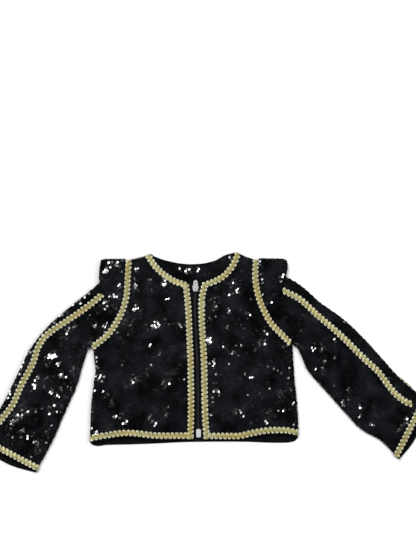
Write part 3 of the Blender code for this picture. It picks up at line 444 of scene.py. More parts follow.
def front_grid(curves):
    """A front's middle surface: a Coons patch in plan, its height from the rolls, folds and creases."""
    side, armhole, edge, neck, shoulder, hem = curves
    v = plan_rows()
    rolled = v <= ARMPIT_ROW + 1e-6
    outer = partial(two_curves, side, armhole, ARMPIT_ROW)
    inner = partial(two_curves, edge, neck, NECK_ROW)
    width = np.linalg.norm(outer(v) - inner(v), axis=1)[:, None]
    rim = 1 - rim_distances(rolled) / width
    main = np.linspace(0.0, 1.0, 66)[None, :-1]
    u = np.concatenate([main * rim[:, :1], rim], axis=1)
    heights = np.repeat(v[:, None], u.shape[1], axis=1)
    plan = coons(partial(curve, hem), partial(curve, shoulder), inner, outer, u, heights)
    plan = shoulder_rows(plan, np.ones(plan.shape[1], bool))
    inwards = np.minimum(from_side(plan, side), from_line(plan, shoulder[0], shoulder[-1]))
    z = upper_level(inwards) + folds_at(plan, inwards)
    low = int(rolled.sum())
    z[:low, -2] = ROLL_LEVEL + ROLL_HIP
    z[-2] = ROLL_LEVEL + ROLL_HIP
    z[:low, -1] = ROLL_LEVEL + SEAM / 2
    z[-1] = ROLL_LEVEL + SEAM / 2
    return np.concatenate([plan, z[..., None]], axis=2)


def back_grid():
    """The back's middle surface: a Coons patch, flat on the table, with its folded edges turned up."""
    v = plan_rows()
    rolled = v <= ARMPIT_ROW + 1e-6
    near, far = 0.2, 0.8
    right = partial(two_curves, RIGHT_SIDE, RIGHT_ARMHOLE, ARMPIT_ROW)
    left = partial(two_curves, LEFT_SIDE, LEFT_ARMHOLE, ARMPIT_ROW)
    width = np.linalg.norm(left(v) - right(v), axis=1)[:, None]
    rim = rim_distances(rolled) / width
    shoulder_part = np.linspace(0, near, 18)[1:]
    neck_part = np.linspace(near, far, 56)[1:-1]
    main = np.concatenate([shoulder_part, neck_part, 1 - shoulder_part[::-1]])[None]
    inner = rim[:, :1] + main * (1 - 2 * rim[:, :1])
    u = np.concatenate([rim[:, ::-1], inner, 1 - rim], axis=1)

    def top(s):
        first = curve(RIGHT_SHOULDER[::-1], s / near)
        middle = curve(BACK_NECK, (s - near) / (far - near))
        last = curve(LEFT_SHOULDER, (s - far) / (1 - far))
        s = s[..., None]
        return np.where(s <= near, first, np.where(s <= far, middle, last))

    plan = coons(partial(curve, BACK_HEM), top, right, left, u, np.repeat(v[:, None], u.shape[1], axis=1))
    slack = 1e-3
    shoulders = (u[-1] <= near + slack) | (u[-1] >= far - slack)
    plan = shoulder_rows(plan, shoulders)
    inwards = np.minimum(from_side(plan, RIGHT_SIDE), from_side(plan, LEFT_SIDE))
    for shoulder in (RIGHT_SHOULDER, LEFT_SHOULDER):
        inwards = np.minimum(inwards, from_shoulder(plan, shoulder))
    z = lower_level(inwards)
    ends = int(rolled.sum())
    z[:ends, (1, -2)] = ROLL_LEVEL - ROLL_HIP
    z[-2, shoulders] = ROLL_LEVEL - ROLL_HIP
    z[:ends, (0, -1)] = ROLL_LEVEL - SEAM / 2
    z[-1, shoulders] = ROLL_LEVEL - SEAM / 2
    return np.concatenate([plan, z[..., None]], axis=2)


def sleeve_plan(table, armhole, along, across):
    """Plan of a sleeve: straight sections between its edges, bent to the armhole curve at its head."""
    edges = curve(table, along)
    outer, inner = edges[..., :2], edges[..., 2:]
    share = across[..., None]
    straight = outer * (1 - share) + inner * share
    seam = np.array(armhole, float)
    chord = seam[-1] * (1 - share) + seam[0] * share
    bend = curve(armhole, 1 - across) - chord
    fade = np.clip(1 - along / HEAD_BEND, 0.0, 1.0)[..., None] ** 2
    return straight + bend * fade


def sleeve_axis(table):
    """The direction in plan in which a sleeve leaves its cuff."""
    last, before = np.array(table[-1], float), np.array(table[-2], float)
    axis = (last[:2] - before[:2]) + (last[2:] - before[2:])
    return axis / np.linalg.norm(axis)


def sleeve_grid(sign, table, armhole, front, back):
    """A sleeve's middle surface: rings over its upper wall and back under; ring 0 follows the armhole."""
    first = armpit_number()
    upper_seam = front[first:, -1][::-1].copy()
    lower_seam = back[first:, 0 if sign < 0 else -1][::-1]
    ends = (0, -1)
    upper_seam[ends, :] = (upper_seam[ends, :] + lower_seam[ends, :]) / 2
    along = np.linspace(0.0, 1.0, SECTIONS + 1)[:, None]
    edges = curve(table, along[:, 0])
    width = np.linalg.norm(edges[:, :2] - edges[:, 2:], axis=1)[:, None]
    hip = ROLL - math.sqrt(ROLL**2 - ROLL_HIP**2)
    turns = [ROLL * (1 - math.sin(math.radians(turn))) for turn in ROLL_TURNS[::-1]]
    rim = np.array([[0.0, hip] + turns])
    main = np.linspace(0.0, 1.0, upper_seam.shape[0] - 2 * rim.shape[1] + 2)[None, 1:-1]
    spread = turns[-1] + main * (width - 2 * turns[-1])
    distance = np.concatenate([rim + 0 * width, spread, width - rim[:, ::-1]], axis=1)
    run = lengths(upper_seam[:, :2])
    settle = smoothstep(along / HEAD_SETTLE)
    share = run[None] / run[-1] * (1 - settle) + distance / width * settle
    ring = np.repeat(along, distance.shape[1], axis=1)
    plan = sleeve_plan(table, armhole, ring, share)
    inwards = np.minimum(distance, width - distance)
    top_z = (upper_level(inwards) + folds_at(plan, inwards)) * settle + upper_seam[None, :, 2] * (1 - settle)
    low_z = lower_level(inwards) * settle + lower_seam[None, :, 2] * (1 - settle)
    reach = CUFF_OVERHANG * np.sin(np.pi * share) * smoothstep((ring - CUFF_START) / (1 - CUFF_START))
    low_plan = plan + reach[..., None] * sleeve_axis(table)
    top = np.concatenate([plan, top_z[..., None]], axis=2)
    low = np.concatenate([low_plan, low_z[..., None]], axis=2)
    ahead = np.gradient(upper_seam[:, :2], axis=0)
    ahead[0] = ahead[1]
    outwards = unit(np.stack([ahead[:, 1], -ahead[:, 0]], axis=1))
    outwards = outwards * np.sign(outwards[len(outwards) // 2, 0]) * sign * SEAM
    outwards[-4:] *= ARMPIT_EASE
    top[0] = upper_seam
    low[0] = lower_seam
    top[0, :, :2] += outwards
    low[0, :, :2] += outwards
    return np.concatenate([top, low[:, -2:0:-1]], axis=1)


def height_on(surfaces, points):
    """Height of the uppermost surface under plan points: inverse-distance mean of the nearest grid points."""
    cloud = np.concatenate([s.reshape(-1, 3) for s in surfaces])
    heights = np.zeros(len(points))
    for part in np.array_split(np.arange(len(points)), max(1, len(points) * len(cloud) // 20_000_000 + 1)):
        away = ((points[part, None, :2] - cloud[None, :, :2]) ** 2).sum(axis=2)
        near = np.argpartition(away, 4, axis=1)[:, :4]
        weight = 1.0 / (np.take_along_axis(away, near, axis=1) + 0.05)
        heights[part] = (cloud[near, 2] * weight).sum(axis=1) / weight.sum(axis=1)
    return heights


def finer(grid, rows, columns):
    """A finer grid through a coarse one: smooth curves along its rows, then along its columns."""
    wide = np.array([curve(row, np.linspace(0, 1, columns)) for row in grid]).transpose(1, 0, 2)
    return np.array([curve(line, np.linspace(0, 1, rows)) for line in wide]).transpose(1, 0, 2)


def wing_grid(table, sleeve_table, armhole, surfaces):
    """A wing: a leaf over the sleeve head, half a turn round the fold line, and a short leaf under it.

    The leaf runs in straight lines from its seam (share 0) to its free edge (share 1), with one more
    line before the seam, low enough to lie under the braid.
    """
    out = np.concatenate([[WING_SEAM[0]], np.linspace(0.0, 1.0, 8)])
    rows = curve(table, np.linspace(0.0, 1.0, 10))
    share = out[None, :, None]
    leaf = rows[:, None, :2] * (1 - share) + rows[:, None, 2:] * share
    seam = np.array(armhole, float)
    leaf[:, 0, 0] = np.interp(rows[:, 1], seam[:, 1], seam[:, 0])
    leaf[:, 0, 0] += math.copysign(BRAID_WIDTH / 2 - WING_TUCK, rows[0, 2] - rows[0, 0])
    leaf[:, 0, 1] = rows[:, 1]
    leaf[0, :, 1] -= WING_CORNER * smoothstep((out - 0.8) / 0.2)
    fold_line = leaf[0]
    inwards = unit(leaf[1] - leaf[0])
    radius = WING_FOLD[0] + (WING_FOLD[1] - WING_FOLD[0]) * smoothstep(out / 0.7)
    outer = curve(sleeve_table, np.linspace(0, 0.5, 80))[:, :2]
    order = np.argsort(outer[:, 0])
    edge = np.interp(fold_line[:, 0], outer[order, 0], outer[order, 1])
    depth = np.maximum(fold_line[:, 1] - edge - CLOTH / 2 - 2.0, radius + 0.5)
    run = np.linalg.norm(leaf - fold_line, axis=2)
    lower = [[np.interp(depth[j], run[:, j], leaf[:, j, k]) for k in (0, 1)] for j in range(len(out))]
    points = [np.column_stack([lower, np.full(len(out), REST)])]
    for turn in np.radians([0, 45, 90, 135, 180]):
        step = radius * (1 - math.sin(turn))
        z = REST + radius * (1 - math.cos(turn))
        points.append(np.column_stack([fold_line + inwards * step[:, None], z]))
    flat = leaf[1:].reshape(-1, 2)
    turns = np.radians(np.arange(0, 360, 60))
    ring = [flat] + [flat + WING_REACH * np.array([math.cos(t), math.sin(t)]) for t in turns]
    below = np.max([cloth_under(surfaces, p, outer) for p in ring], axis=0).reshape(leaf[1:].shape[:2])
    crease = np.broadcast_to(REST + 2 * radius, below.shape)
    z = np.maximum(below + np.where(out < 0, WING_SEAM[1], WING_LIFT), np.where(out < 0, 0.0, crease))
    for _ in range(4):
        around = np.pad(z, 1, mode="edge")
        around[0, 1:-1] = REST + 2 * radius
        mean = (around[:-2, 1:-1] + around[2:, 1:-1] + around[1:-1, :-2] + around[1:-1, 2:]) / 4
        z = np.maximum(z, mean)
    upper = np.concatenate([leaf[1:], z[..., None]], axis=2)
    whole = finer(np.concatenate([np.array(points), upper]), 60, 24)
    whole[..., 2] = np.maximum(whole[..., 2], NET / 2 + 0.1)
    return whole


def cloth_under(surfaces, points, outer):
    """Middle height of the sleeve under plan points, and the table's where they lie past its outer edge."""
    order = np.argsort(outer[:, 0])
    edge = np.interp(points[:, 0], outer[order, 0], outer[order, 1])
    return np.where(points[:, 1] > edge + CLOTH / 2, REST, height_on(surfaces, points))


def mesh_piece(name, points, faces, finish, smooth=True):
    """One piece from points of the drawing and an array of faces of equal size, riding on the jacket."""
    mesh = bpy.data.meshes.new(name)
    faces = np.asarray(faces)
    mesh.vertices.add(len(points))
    mesh.vertices.foreach_set("co", to_row(points).astype(np.float32).ravel())
    mesh.loops.add(faces.size)
    mesh.loops.foreach_set("vertex_index", faces.ravel().astype(np.int32))
    mesh.polygons.add(len(faces))
    mesh.polygons.foreach_set("loop_start", np.arange(0, faces.size, faces.shape[1], dtype=np.int32))
    mesh.polygons.foreach_set("use_smooth", np.full(len(faces), smooth))
    mesh.update(calc_edges=True)
    mesh.validate()
    mesh.materials.append(finish)
    piece = bpy.data.objects.new(name, mesh)
    bpy.context.scene.collection.objects.link(piece)
    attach(piece, "jacket")
    return piece


def grid_faces(rows, columns, closed=False):
    """Quads of a grid, row by row; a closed grid joins its last column to its first."""
    i, j = np.meshgrid(np.arange(rows - 1), np.arange(columns if closed else columns - 1), indexing="ij")
    low, high, k = i * columns, (i + 1) * columns, (j + 1) % columns
    return np.stack([low + j, low + k, high + k, high + j], axis=2).reshape(-1, 4)


def carry(piece, word, values):
    """Gives each point of a piece a number that its material reads."""
    piece.data.attributes.new(word, "FLOAT", "POINT").data.foreach_set("value", values.astype(np.float32))


def cloth_piece(name, node, grid, finish, closed=False):
    """The net and lining of a panel: its middle surface, given its wall by Solidify."""
    faces = grid_faces(*grid.shape[:2], closed)
    piece = mesh_piece(name, grid.reshape(-1, 3), faces, finish)
    solid = piece.modifiers.new("wall", "SOLIDIFY")
    solid.thickness = NET * MM
    solid.offset = 0.0
    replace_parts(piece, node)
    return piece


def normals_of(grid):
    """Unit normals of a grid, from the cross product of its two slopes."""
    return unit(np.cross(np.gradient(grid, axis=0), np.gradient(grid, axis=1)))


def sewn_rows(grid, normals):
    """Points in rows on a grid, rows ROW_PITCH apart on average and points PITCH apart along each.

    The third result is 1 at the ends of a row, where the sequins splay, and 0 from EDGE_SPLAY inwards.
    """
    steps = np.linalg.norm(np.diff(grid, axis=0), axis=2).mean(axis=1)
    at = np.concatenate([[0.0], np.cumsum(steps)])
    points, directions, ends = [], [], []
    for number, height in enumerate(np.arange(ROW_PITCH * 0.6, at[-1] - ROW_PITCH * 0.4, ROW_PITCH)):
        i = min(np.searchsorted(at, height, side="right") - 1, len(at) - 2)
        f = (height - at[i]) / (at[i + 1] - at[i])
        line = grid[i] * (1 - f) + grid[i + 1] * f
        normal = normals[i] * (1 - f) + normals[i + 1] * f
        run = lengths(line)
        spots = np.arange(PITCH * (0.5 + 0.5 * (number % 2)), run[-1] - PITCH * 0.4, PITCH)
        points.append(read(spots, run, line))
        directions.append(read(spots, run, normal))
        ends.append(1 - smoothstep(np.minimum(spots, run[-1] - spots) / EDGE_SPLAY))
    return np.concatenate(points), np.concatenate(directions), np.concatenate(ends)


def leaning(places, normals, rng):
    """Normals near a pucker, drawn towards its slope, and how far each is drawn.

    They are n (1 - w) + slope w, with w = strength exp(-(d / r)^4), after n has been drawn upright in the
    same way near a level spot.
    """
    calm = np.array(LEVEL_SPOTS, float)
    away = np.linalg.norm(places[:, None, :2] - calm[None, :, :2], axis=2) / calm[None, :, 2]
    upright = np.exp(-(away**4)).max(axis=1)[:, None]
    normals = normals * (1 - upright) + np.array([0.0, 0.0, 1.0]) * upright
    sites = np.array(PUCKERS, float)
    away = np.linalg.norm(places[:, None, :2] - sites[None, :, :2], axis=2) / sites[None, :, 2]
    strength = np.where(rng.uniform(0, 1, len(places)) < 0.55, rng.normal(0.95, 0.15, len(places)), 0.3)
    weight = np.exp(-(away**4)).max(axis=1) * strength
    slope = np.append(LEAN, 1.0) / np.linalg.norm(np.append(LEAN, 1.0))
    return normals * (1 - weight[:, None]) + slope * weight[:, None], weight


def round_fold(line, inner):
    """Places and normals in rows round a folded edge: centre + ROLL (cos, sin) for each of EDGE_TURNS.

    The third result is 1, because all of them splay.
    """
    out = headings(line)[1]
    out = out * np.sign(((line - inner) * out).sum())
    run = lengths(line)
    places, normals = [], []
    for number, turn in enumerate(np.radians(EDGE_TURNS)):
        at = np.arange(PITCH * (0.4 + 0.5 * number), run[-1], PITCH * 0.92)
        spot, away = read(at, run, line), read(at, run, out)
        height = np.full((len(at), 1), math.sin(turn))
        places.append(np.hstack([spot - away * ROLL * (1 - math.cos(turn)), ROLL_LEVEL + ROLL * height]))
        normals.append(np.hstack([away * math.cos(turn), height]))
    return np.concatenate(places), np.concatenate(normals), np.ones(sum(map(len, places)))


def sequins(name, places, normals, splay, finish, rng, tilt):
    """Flat six-sided sequins on the cloth: each stands SEQUIN_LIFT off its place and tilts at random.

    Its centre is place + lift * normal, and its corners lie at SEQUIN / 2 round it, 60 degrees apart.
    """
    count = len(places)
    normals, drawn = leaning(places, normals, rng)
    normals = unit(normals)
    spin = rng.uniform(0, 2 * math.pi, count)
    helper = np.where(np.abs(normals[:, 1:2]) < 0.9, [[0.0, 1.0, 0.0]], [[1.0, 0.0, 0.0]])
    side = unit(np.cross(helper, normals))
    front = np.cross(normals, side)
    loose = tilt * (1 + 1.5 * splay) * (1 - 0.5 * np.clip(drawn, 0, 1))
    lean = np.tan(np.radians(rng.normal(0, 1, (count, 2)) * loose[:, None]))
    facing = unit(normals + side * lean[:, :1] + front * lean[:, 1:])
    side = unit(side - facing * (side * facing).sum(axis=1)[:, None])
    front = np.cross(facing, side)
    turns = spin[:, None] + np.arange(6)[None] * math.pi / 3
    rim = np.cos(turns)[..., None] * side[:, None] + np.sin(turns)[..., None] * front[:, None]
    centre = places + normals * (SEQUIN_LIFT + rng.uniform(0, 0.2, (count, 1)))
    points = (centre[:, None] + rim * SEQUIN / 2).reshape(-1, 3)
    faces = np.arange(count * 6).reshape(-1, 6)
    piece = mesh_piece(name, points, faces, finish, smooth=False)
    carry(piece, "shade", np.repeat(rng.uniform(0, 1, count), 6))
    return piece


def upward(normals):
    """The same normals, turned so that most look up."""
    return normals * np.sign(normals[..., 2].mean())


def dressed(name, grid, finish, rng, keep=None, folds=()):
    """Sequins over the parts of a grid that look up, where keep says so, and round its folded edges."""
    normals = upward(normals_of(grid))
    places, directions, splay = sewn_rows(grid, normals)
    chosen = directions[:, 2] > 0.5
    level = EDGE_LEVEL * splay[:, None]
    directions = directions * (1 - level) + level * [0.0, 0.0, 1.0]
    if keep is not None:
        chosen &= keep(places)
    parts = [[part[chosen] for part in (places, directions, splay)]] + [round_fold(*fold) for fold in folds]
    places, directions, splay = (np.concatenate(part) for part in zip(*parts))
    return sequins(name, places, directions, splay, finish, rng, TILT[name])


def neck_only(places):
    """The back's inside where the neck opening shows it."""
    return (places[:, 1] > 250) & (np.abs(places[:, 0] + 6) < 70) & (places[:, 2] < 1.3)


def beyond(places, armhole):
    """The places that the armhole braid doesn't cover."""
    line = curve(armhole, np.linspace(0, 1, 120))
    away = np.linalg.norm(places[:, None, :2] - line[None], axis=2).min(axis=1)
    return away > BRAID_WIDTH / 2 + 1.0


def trimmed(path, start, end):
    """A path with lengths cut off its two ends."""
    fine = curve(path, np.linspace(0, 1, 300))
    run = lengths(fine)
    return read(np.linspace(start, run[-1] - end, 90), run, fine)


def beside(path, distance):
    """A path moved to its left by a distance."""
    line = curve(path, np.linspace(0, 1, 60))
    return line + distance * headings(line)[1]


def inside_of(path, line):
    """The part of a path that keeps the roll's radius away from a folded edge, given by two points on it."""
    fine = curve(path, np.linspace(0, 1, 600))
    return fine[from_line(fine, line[0], line[-1]) > ROLL + 0.1]


class Ribbon:
    """The curved strip that a braid lies in: rows along its path, five points across, and its normals."""

    def __init__(self, path, surfaces, wraps, lap):
        run = lengths(path)
        at = np.linspace(0, run[-1], max(8, int(run[-1] / 2.0)) + 1)
        plan = read(at, run, path)
        ahead, left = headings(plan)
        shares = np.linspace(-1, 1, 5)
        spots = plan[:, None] + left[:, None] * shares[None, :, None] * BRAID_WIDTH / 2
        reach = np.clip(np.abs(shares), 0, 0.9) * np.sign(shares)
        probe = plan[:, None] + left[:, None] * reach[None, :, None] * BRAID_WIDTH / 2
        z = height_on(surfaces, probe.reshape(-1, 2)).reshape(spots.shape[:2])
        z = np.maximum(z, z.max(axis=1, keepdims=True) - 1.2) + BRAID_LIFT
        padded = np.pad(z, ((1, 1), (0, 0)), mode="edge")
        z = padded[:-2] * 0.25 + padded[1:-1] * 0.5 + padded[2:] * 0.25
        if lap:
            z += (BRAID_LAP * (1 - smoothstep((at - lap) / 6.0)))[:, None]
        self.rows = np.concatenate([spots, z[..., None]], axis=2)
        if wraps[0]:
            self.rows = np.concatenate([self.turned_down(0, -ahead[0])[::-1], self.rows])
        if wraps[1]:
            self.rows = np.concatenate([self.rows, self.turned_down(-1, ahead[-1])])
        self.measure(BRAID_WIDTH)

    def measure(self, width):
        """Lengths along the middle of the strip, and its normals from the cross product of its slopes."""
        self.run = lengths(self.rows[:, 2])
        self.normals = -normals_of(self.rows)
        self.half = width / 2

    @classmethod
    def round_edge(cls, line, inner, low, high):
        """A strip round a folded edge: centre + radius (cos, sin) for turns of low to high degrees."""
        out = headings(line)[1]
        out = out * np.sign(((line - inner) * out).sum())
        radius = ROLL + BRAID_LIFT + 0.4
        turns = np.radians(np.linspace(low, high, 5))
        plan = (line - out * ROLL)[:, None] + out[:, None] * radius * np.cos(turns)[None, :, None]
        z = np.broadcast_to(ROLL_LEVEL + radius * np.sin(turns), plan.shape[:2])
        strip = cls.__new__(cls)
        strip.rows = np.concatenate([plan, z[..., None]], axis=2)
        strip.measure(radius * (turns[-1] - turns[0]))
        if (strip.normals[:, 2, :2] * out).sum() < 0:
            strip.normals = -strip.normals
        return strip

    def turned_down(self, end, onwards):
        """Rows that go on round the roll: centre + radius (cos, sin) for turns from the crown to the seam."""
        row = self.rows[end]
        radius = row[:, 2] - ROLL_LEVEL
        turns = np.radians([72, 54, 36, 18, 4])
        plan = row[None, :, :2] + onwards * (radius[None] * np.cos(turns)[:, None])[..., None]
        z = ROLL_LEVEL + radius[None] * np.sin(turns)[:, None]
        return np.concatenate([plan, z[..., None]], axis=2)

    def at(self, along, across, lift):
        """Points on the strip at lengths along and across it, raised along its normal."""
        i = np.clip(np.searchsorted(self.run, along, side="right") - 1, 0, len(self.run) - 2)
        f = np.clip((along - self.run[i]) / (self.run[i + 1] - self.run[i]), 0, 1)[..., None]
        place = np.clip((across / self.half + 1) * 2, 0, 4)
        j = np.clip(place.astype(int), 0, 3)
        g = (place - j)[..., None]
        value = []
        for table in (self.rows, self.normals):
            low = table[i, j] * (1 - g) + table[i, j + 1] * g
            high = table[i + 1, j] * (1 - g) + table[i + 1, j + 1] * g
            value.append(low * (1 - f) + high * f)
        return value[0] + value[1] * lift[..., None]


def tubes(lines, radius, sides=5):
    """Round cords through lines of points (cord, step, xyz), as a ring of points about each step.

    The third result says how far up its ring each point lies: the sine of its turn times the ring's rise.
    """
    ahead = unit(np.gradient(lines, axis=1))
    side = unit(np.cross(ahead, [0.0, 0.0, 1.0]))
    top = np.cross(side, ahead)
    turns = np.arange(sides) * 2 * math.pi / sides
    ring = side[..., None, :] * np.cos(turns)[:, None] + top[..., None, :] * np.sin(turns)[:, None]
    points = lines[..., None, :] + ring * radius
    crest = np.broadcast_to(np.sin(turns) * np.abs(top[..., None, 2]), points.shape[:-1])
    cords, steps = lines.shape[:2]
    faces = grid_faces(steps, sides, closed=True)
    offsets = np.arange(cords) * steps * sides
    return points.reshape(-1, 3), (faces[None] + offsets[:, None, None]).reshape(-1, 4), crest.ravel()


def gimp(name, ribbon, finish):
    """Gimp braid: four cords swing from edge to edge, over and under four more along its middle.

    The bundle's middle runs along s = p a / 2 pi - k sin 2a and across t = A sin a; each cord keeps its
    own distance from that line, measured along the line's normal, and all rise by h cos a.
    """
    pitches = max(1, round(ribbon.run[-1] / BRAID_PITCH))
    step = ribbon.run[-1] / pitches / (2 * math.pi)
    swing = ribbon.half - CORD - 1.2
    a = np.linspace(0, 2 * math.pi * pitches, pitches * 12 + 1)[None]
    along, along_slope = step * (a - 0.35 * np.sin(2 * a)), step * (1 - 0.7 * np.cos(2 * a))
    across, across_slope = swing * np.sin(a), swing * np.cos(a)
    length = np.hypot(along_slope, across_slope)
    apart = np.array([-1.2, -0.4, 0.4, 1.2])[:, None]
    s = np.clip(along - apart * across_slope / length, 0, ribbon.run[-1])
    t = across + apart * along_slope / length
    bundle = ribbon.at(s, t, 0.32 * np.cos(a) + 0 * apart)
    a = np.linspace(0, 2 * math.pi * pitches, pitches * 6 + 1)[None]
    middle = np.array([-2.1, -0.7, 0.7, 2.1])[:, None] * ribbon.half / 5.5
    turn = np.array([1.0, 1.0, -1.0, -1.0])[:, None]
    core = ribbon.at(step * a + 0 * middle, middle + 0.2 * np.sin(a), 0.1 - 0.4 * turn * np.cos(a))
    points, faces, crest = tubes(bundle, CORD)
    more, more_faces, more_crest = tubes(core, CORD, 4)
    faces = np.concatenate([faces, more_faces + len(points)])
    piece = mesh_piece(name, np.concatenate([points, more]), faces, finish)
    # How far out towards the braid's edges each point lies sets the painted highlight on the loops' outer
    # ends.
    loops = np.repeat(np.abs(t).ravel() / ribbon.half, 5)
    # How far up its cord each point lies sets the gold's painted highlight and painted shade. The core cords
    # get 0.25 less, for more painted shade between the cords.
    carry(piece, "crest", np.concatenate([crest, more_crest - 0.25]))
    carry(piece, "loop_highlight", np.concatenate([loops, np.zeros(len(more))]))
    return piece


def coil(name, finish):
    """The zip's closed teeth: two helices, x = side (0.85 + cos a), z = 0.6 sin a, y = pitch a / 2 pi."""
    low, high = BOX_TOP, SLIDER_FOOT
    turns = int((high - low) / 1.5)
    a = np.linspace(0, 2 * math.pi * turns, turns * 8 + 1)
    y = low + (high - low) * a / a[-1]
    middle = curve(ZIP_LINE, y / ZIP_LINE[-1][1])[:, 0]
    lines = []
    for side, lag in ((-1, 0.0), (1, math.pi)):
        across = middle + side * (0.85 + 1.0 * np.cos(a + lag))
        lines.append(np.stack([across, y, ZIP_BASE + 0.95 + 0.6 * np.sin(a + lag)], axis=1))
    points, faces, _ = tubes(np.array(lines), 0.32, 4)
    return mesh_piece(name, points, faces, finish)


def principled(name, colour, roughness, metallic=0.0, **sockets):
    """A material with one Principled shader and its constant sockets set."""
    made = bpy.data.materials.new(name)
    made.use_nodes = True
    shader = made.node_tree.nodes["Principled BSDF"]
    shader.inputs["Base Color"].default_value = (*colour, 1.0)
    shader.inputs["Roughness"].default_value = roughness
    shader.inputs["Metallic"].default_value = metallic
    for key, value in sockets.items():
        shader.inputs[key].default_value = value
    return made


def cloudiness():
    """A shader group: soft cloudy noise from 0 to 1 at a place, with its scale and detail."""
    group = bpy.data.node_groups.new("cloudiness", "ShaderNodeTree")
    for socket, kind in (("Place", "Vector"), ("Scale", "Float"), ("Detail", "Float")):
        group.interface.new_socket(name=socket, in_out="INPUT", socket_type=f"NodeSocket{kind}")
    group.interface.new_socket(name="Amount", in_out="OUTPUT", socket_type="NodeSocketFloat")
    start = group.nodes.new("NodeGroupInput")
    noise = group.nodes.new("ShaderNodeTexNoise")
    end = group.nodes.new("NodeGroupOutput")
    group.links.new(start.outputs["Place"], noise.inputs["Vector"])
    group.links.new(start.outputs["Scale"], noise.inputs["Scale"])
    group.links.new(start.outputs["Detail"], noise.inputs["Detail"])
    group.links.new(noise.outputs["Fac"], end.inputs["Amount"])
    return group


def clouded(made, group, scale, detail):
    """The cloudiness over a material's object, at a scale: its output socket."""
    nodes, links = made.node_tree.nodes, made.node_tree.links
    place = nodes.new("ShaderNodeTexCoord")
    cloud = nodes.new("ShaderNodeGroup")
    cloud.node_tree = group
    cloud.inputs["Scale"].default_value = scale
    cloud.inputs["Detail"].default_value = detail
    links.new(place.outputs["Object"], cloud.inputs["Place"])
    return cloud.outputs["Amount"]


def attribute(made, word):
    """A number that the mesh carries at its points, for a material: its output socket."""
    node = made.node_tree.nodes.new("ShaderNodeAttribute")
    node.attribute_name = word
    return node.outputs["Fac"]


def ramp(made, source, *stops):
    """Colours between two stops, each a position and a colour, read at a source socket: its output socket."""
    node = made.node_tree.nodes.new("ShaderNodeValToRGB")
    for element, (position, colour) in zip(node.color_ramp.elements, stops):
        element.position = position
        element.color = (*colour, 1)
    made.node_tree.links.new(source, node.inputs["Fac"])
    return node.outputs["Color"]


def multiplied(made, first, second):
    """Two colours multiplied: the output socket."""
    node = made.node_tree.nodes.new("ShaderNodeMix")
    node.data_type = "RGBA"
    node.blend_type = "MULTIPLY"
    node.inputs["Factor"].default_value = 1.0
    made.node_tree.links.new(first, node.inputs[6])
    made.node_tree.links.new(second, node.inputs[7])
    return node.outputs[2]


def gold_finish(group):
    """Gold cords with painted light: a painted highlight on the top of each cord, painted shade in dark
    bronze down its flanks, a painted highlight on the outer ends of the loops over a darker middle, and a
    cloudy tint of its own.
    """
    made = principled("gold cord", GOLD, 0.34, 0.22, **{"Coat Weight": 0.35, "Coat Roughness": 0.22})
    # Painted highlight on the top of each cord and painted shade down its flanks.
    painted_crest_light = ramp(made, attribute(made, "crest"), (0.1, GOLD_FLANK_PAINTED_SHADE), (0.85, GOLD))
    cloud = ramp(made, clouded(made, group, 14.0, 2.0), (0.35, GOLD_CLOUD), (0.5, WHITE))
    # Painted highlight on the loops' outer ends, over a middle painted darker.
    loop_highlight = ramp(made, attribute(made, "loop_highlight"), (0.2, GOLD_MIDDLE_PAINTED_SHADE), (0.95, WHITE))
    # The cloudy tint is the gold's own colour; the other two colours are painted light.
    tint_and_painted_light = multiplied(made, multiplied(made, painted_crest_light, cloud), loop_highlight)
    made.node_tree.links.new(tint_and_painted_light, made.node_tree.nodes["Principled BSDF"].inputs["Base Color"])
    return made


def sequin_finish(group):
    """Black sequins, cloudy in blackness over the cloth, and in gloss by each one's shade as well."""
    made = principled("black sequin", (0.002, 0.0025, 0.003), 0.2, **{"Specular IOR Level": 0.6})
    nodes, links = made.node_tree.nodes, made.node_tree.links
    shader = nodes["Principled BSDF"]
    cloud = clouded(made, group, 33.0, 5.0)
    tint = ramp(made, cloud, (0.38, SEQUIN_DARK), (0.68, SEQUIN_PALE))
    links.new(tint, shader.inputs["Base Color"])
    both = nodes.new("ShaderNodeMath")
    both.operation = "MULTIPLY"
    links.new(attribute(made, "shade"), both.inputs[0])
    links.new(cloud, both.inputs[1])
    gloss = nodes.new("ShaderNodeMapRange")
    gloss.inputs["To Min"].default_value = 0.12
    gloss.inputs["To Max"].default_value = 0.3
    links.new(both.outputs[0], gloss.inputs["Value"])
    links.new(gloss.outputs["Result"], shader.inputs["Roughness"])
    return made


def repaint(node, finish):
    """Gives a CAD node a better material."""
    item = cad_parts[node]
    item.data.materials.clear()
    item.data.materials.append(finish)


def softbox(name, place, size, power, glints):
    """A square area light that looks at the jacket, for its glints alone or for its soft light alone."""
    light = bpy.data.lights.new(name, "AREA")
    light.size = size
    light.energy = power
    item = bpy.data.objects.new(name, light)
    item.location = place
    item.rotation_euler = (Vector((0, 0.1, 0)) - Vector(place)).to_track_quat("-Z", "Y").to_euler()
    item.visible_diffuse, item.visible_glossy = not glints, glints
    bpy.context.scene.collection.objects.link(item)


# Camera: straight over the jacket but for 12 degrees, as the photograph is.
camera = bpy.data.objects.new("camera", bpy.data.cameras.new("camera"))
bpy.context.scene.collection.objects.link(camera)
bpy.context.scene.camera = camera
aim = Vector(to_row(AIM))
back_from = Vector((0.0, -math.cos(ELEVATION), math.sin(ELEVATION)))
camera.location = aim + back_from * DISTANCE
camera.rotation_mode = "QUATERNION"
camera.rotation_quaternion = (-back_from).to_track_quat("-Z", "Y")
camera.data.lens = LENS
camera.data.sensor_width = SENSOR

net = principled("black net", (0.003, 0.0035, 0.0045), 0.9, **{"Specular IOR Level": 0.08})
clouds = cloudiness()
sequin_black = sequin_finish(clouds)
gold = gold_finish(clouds)
tape_cloth = principled("black tape", (0.004, 0.004, 0.005), 0.85, **{"Specular IOR Level": 0.1})
metal = principled("dull nickel", (0.78, 0.77, 0.78), 0.3, 0.5)
nylon = principled("black nylon", (0.02, 0.018, 0.02), 0.35)

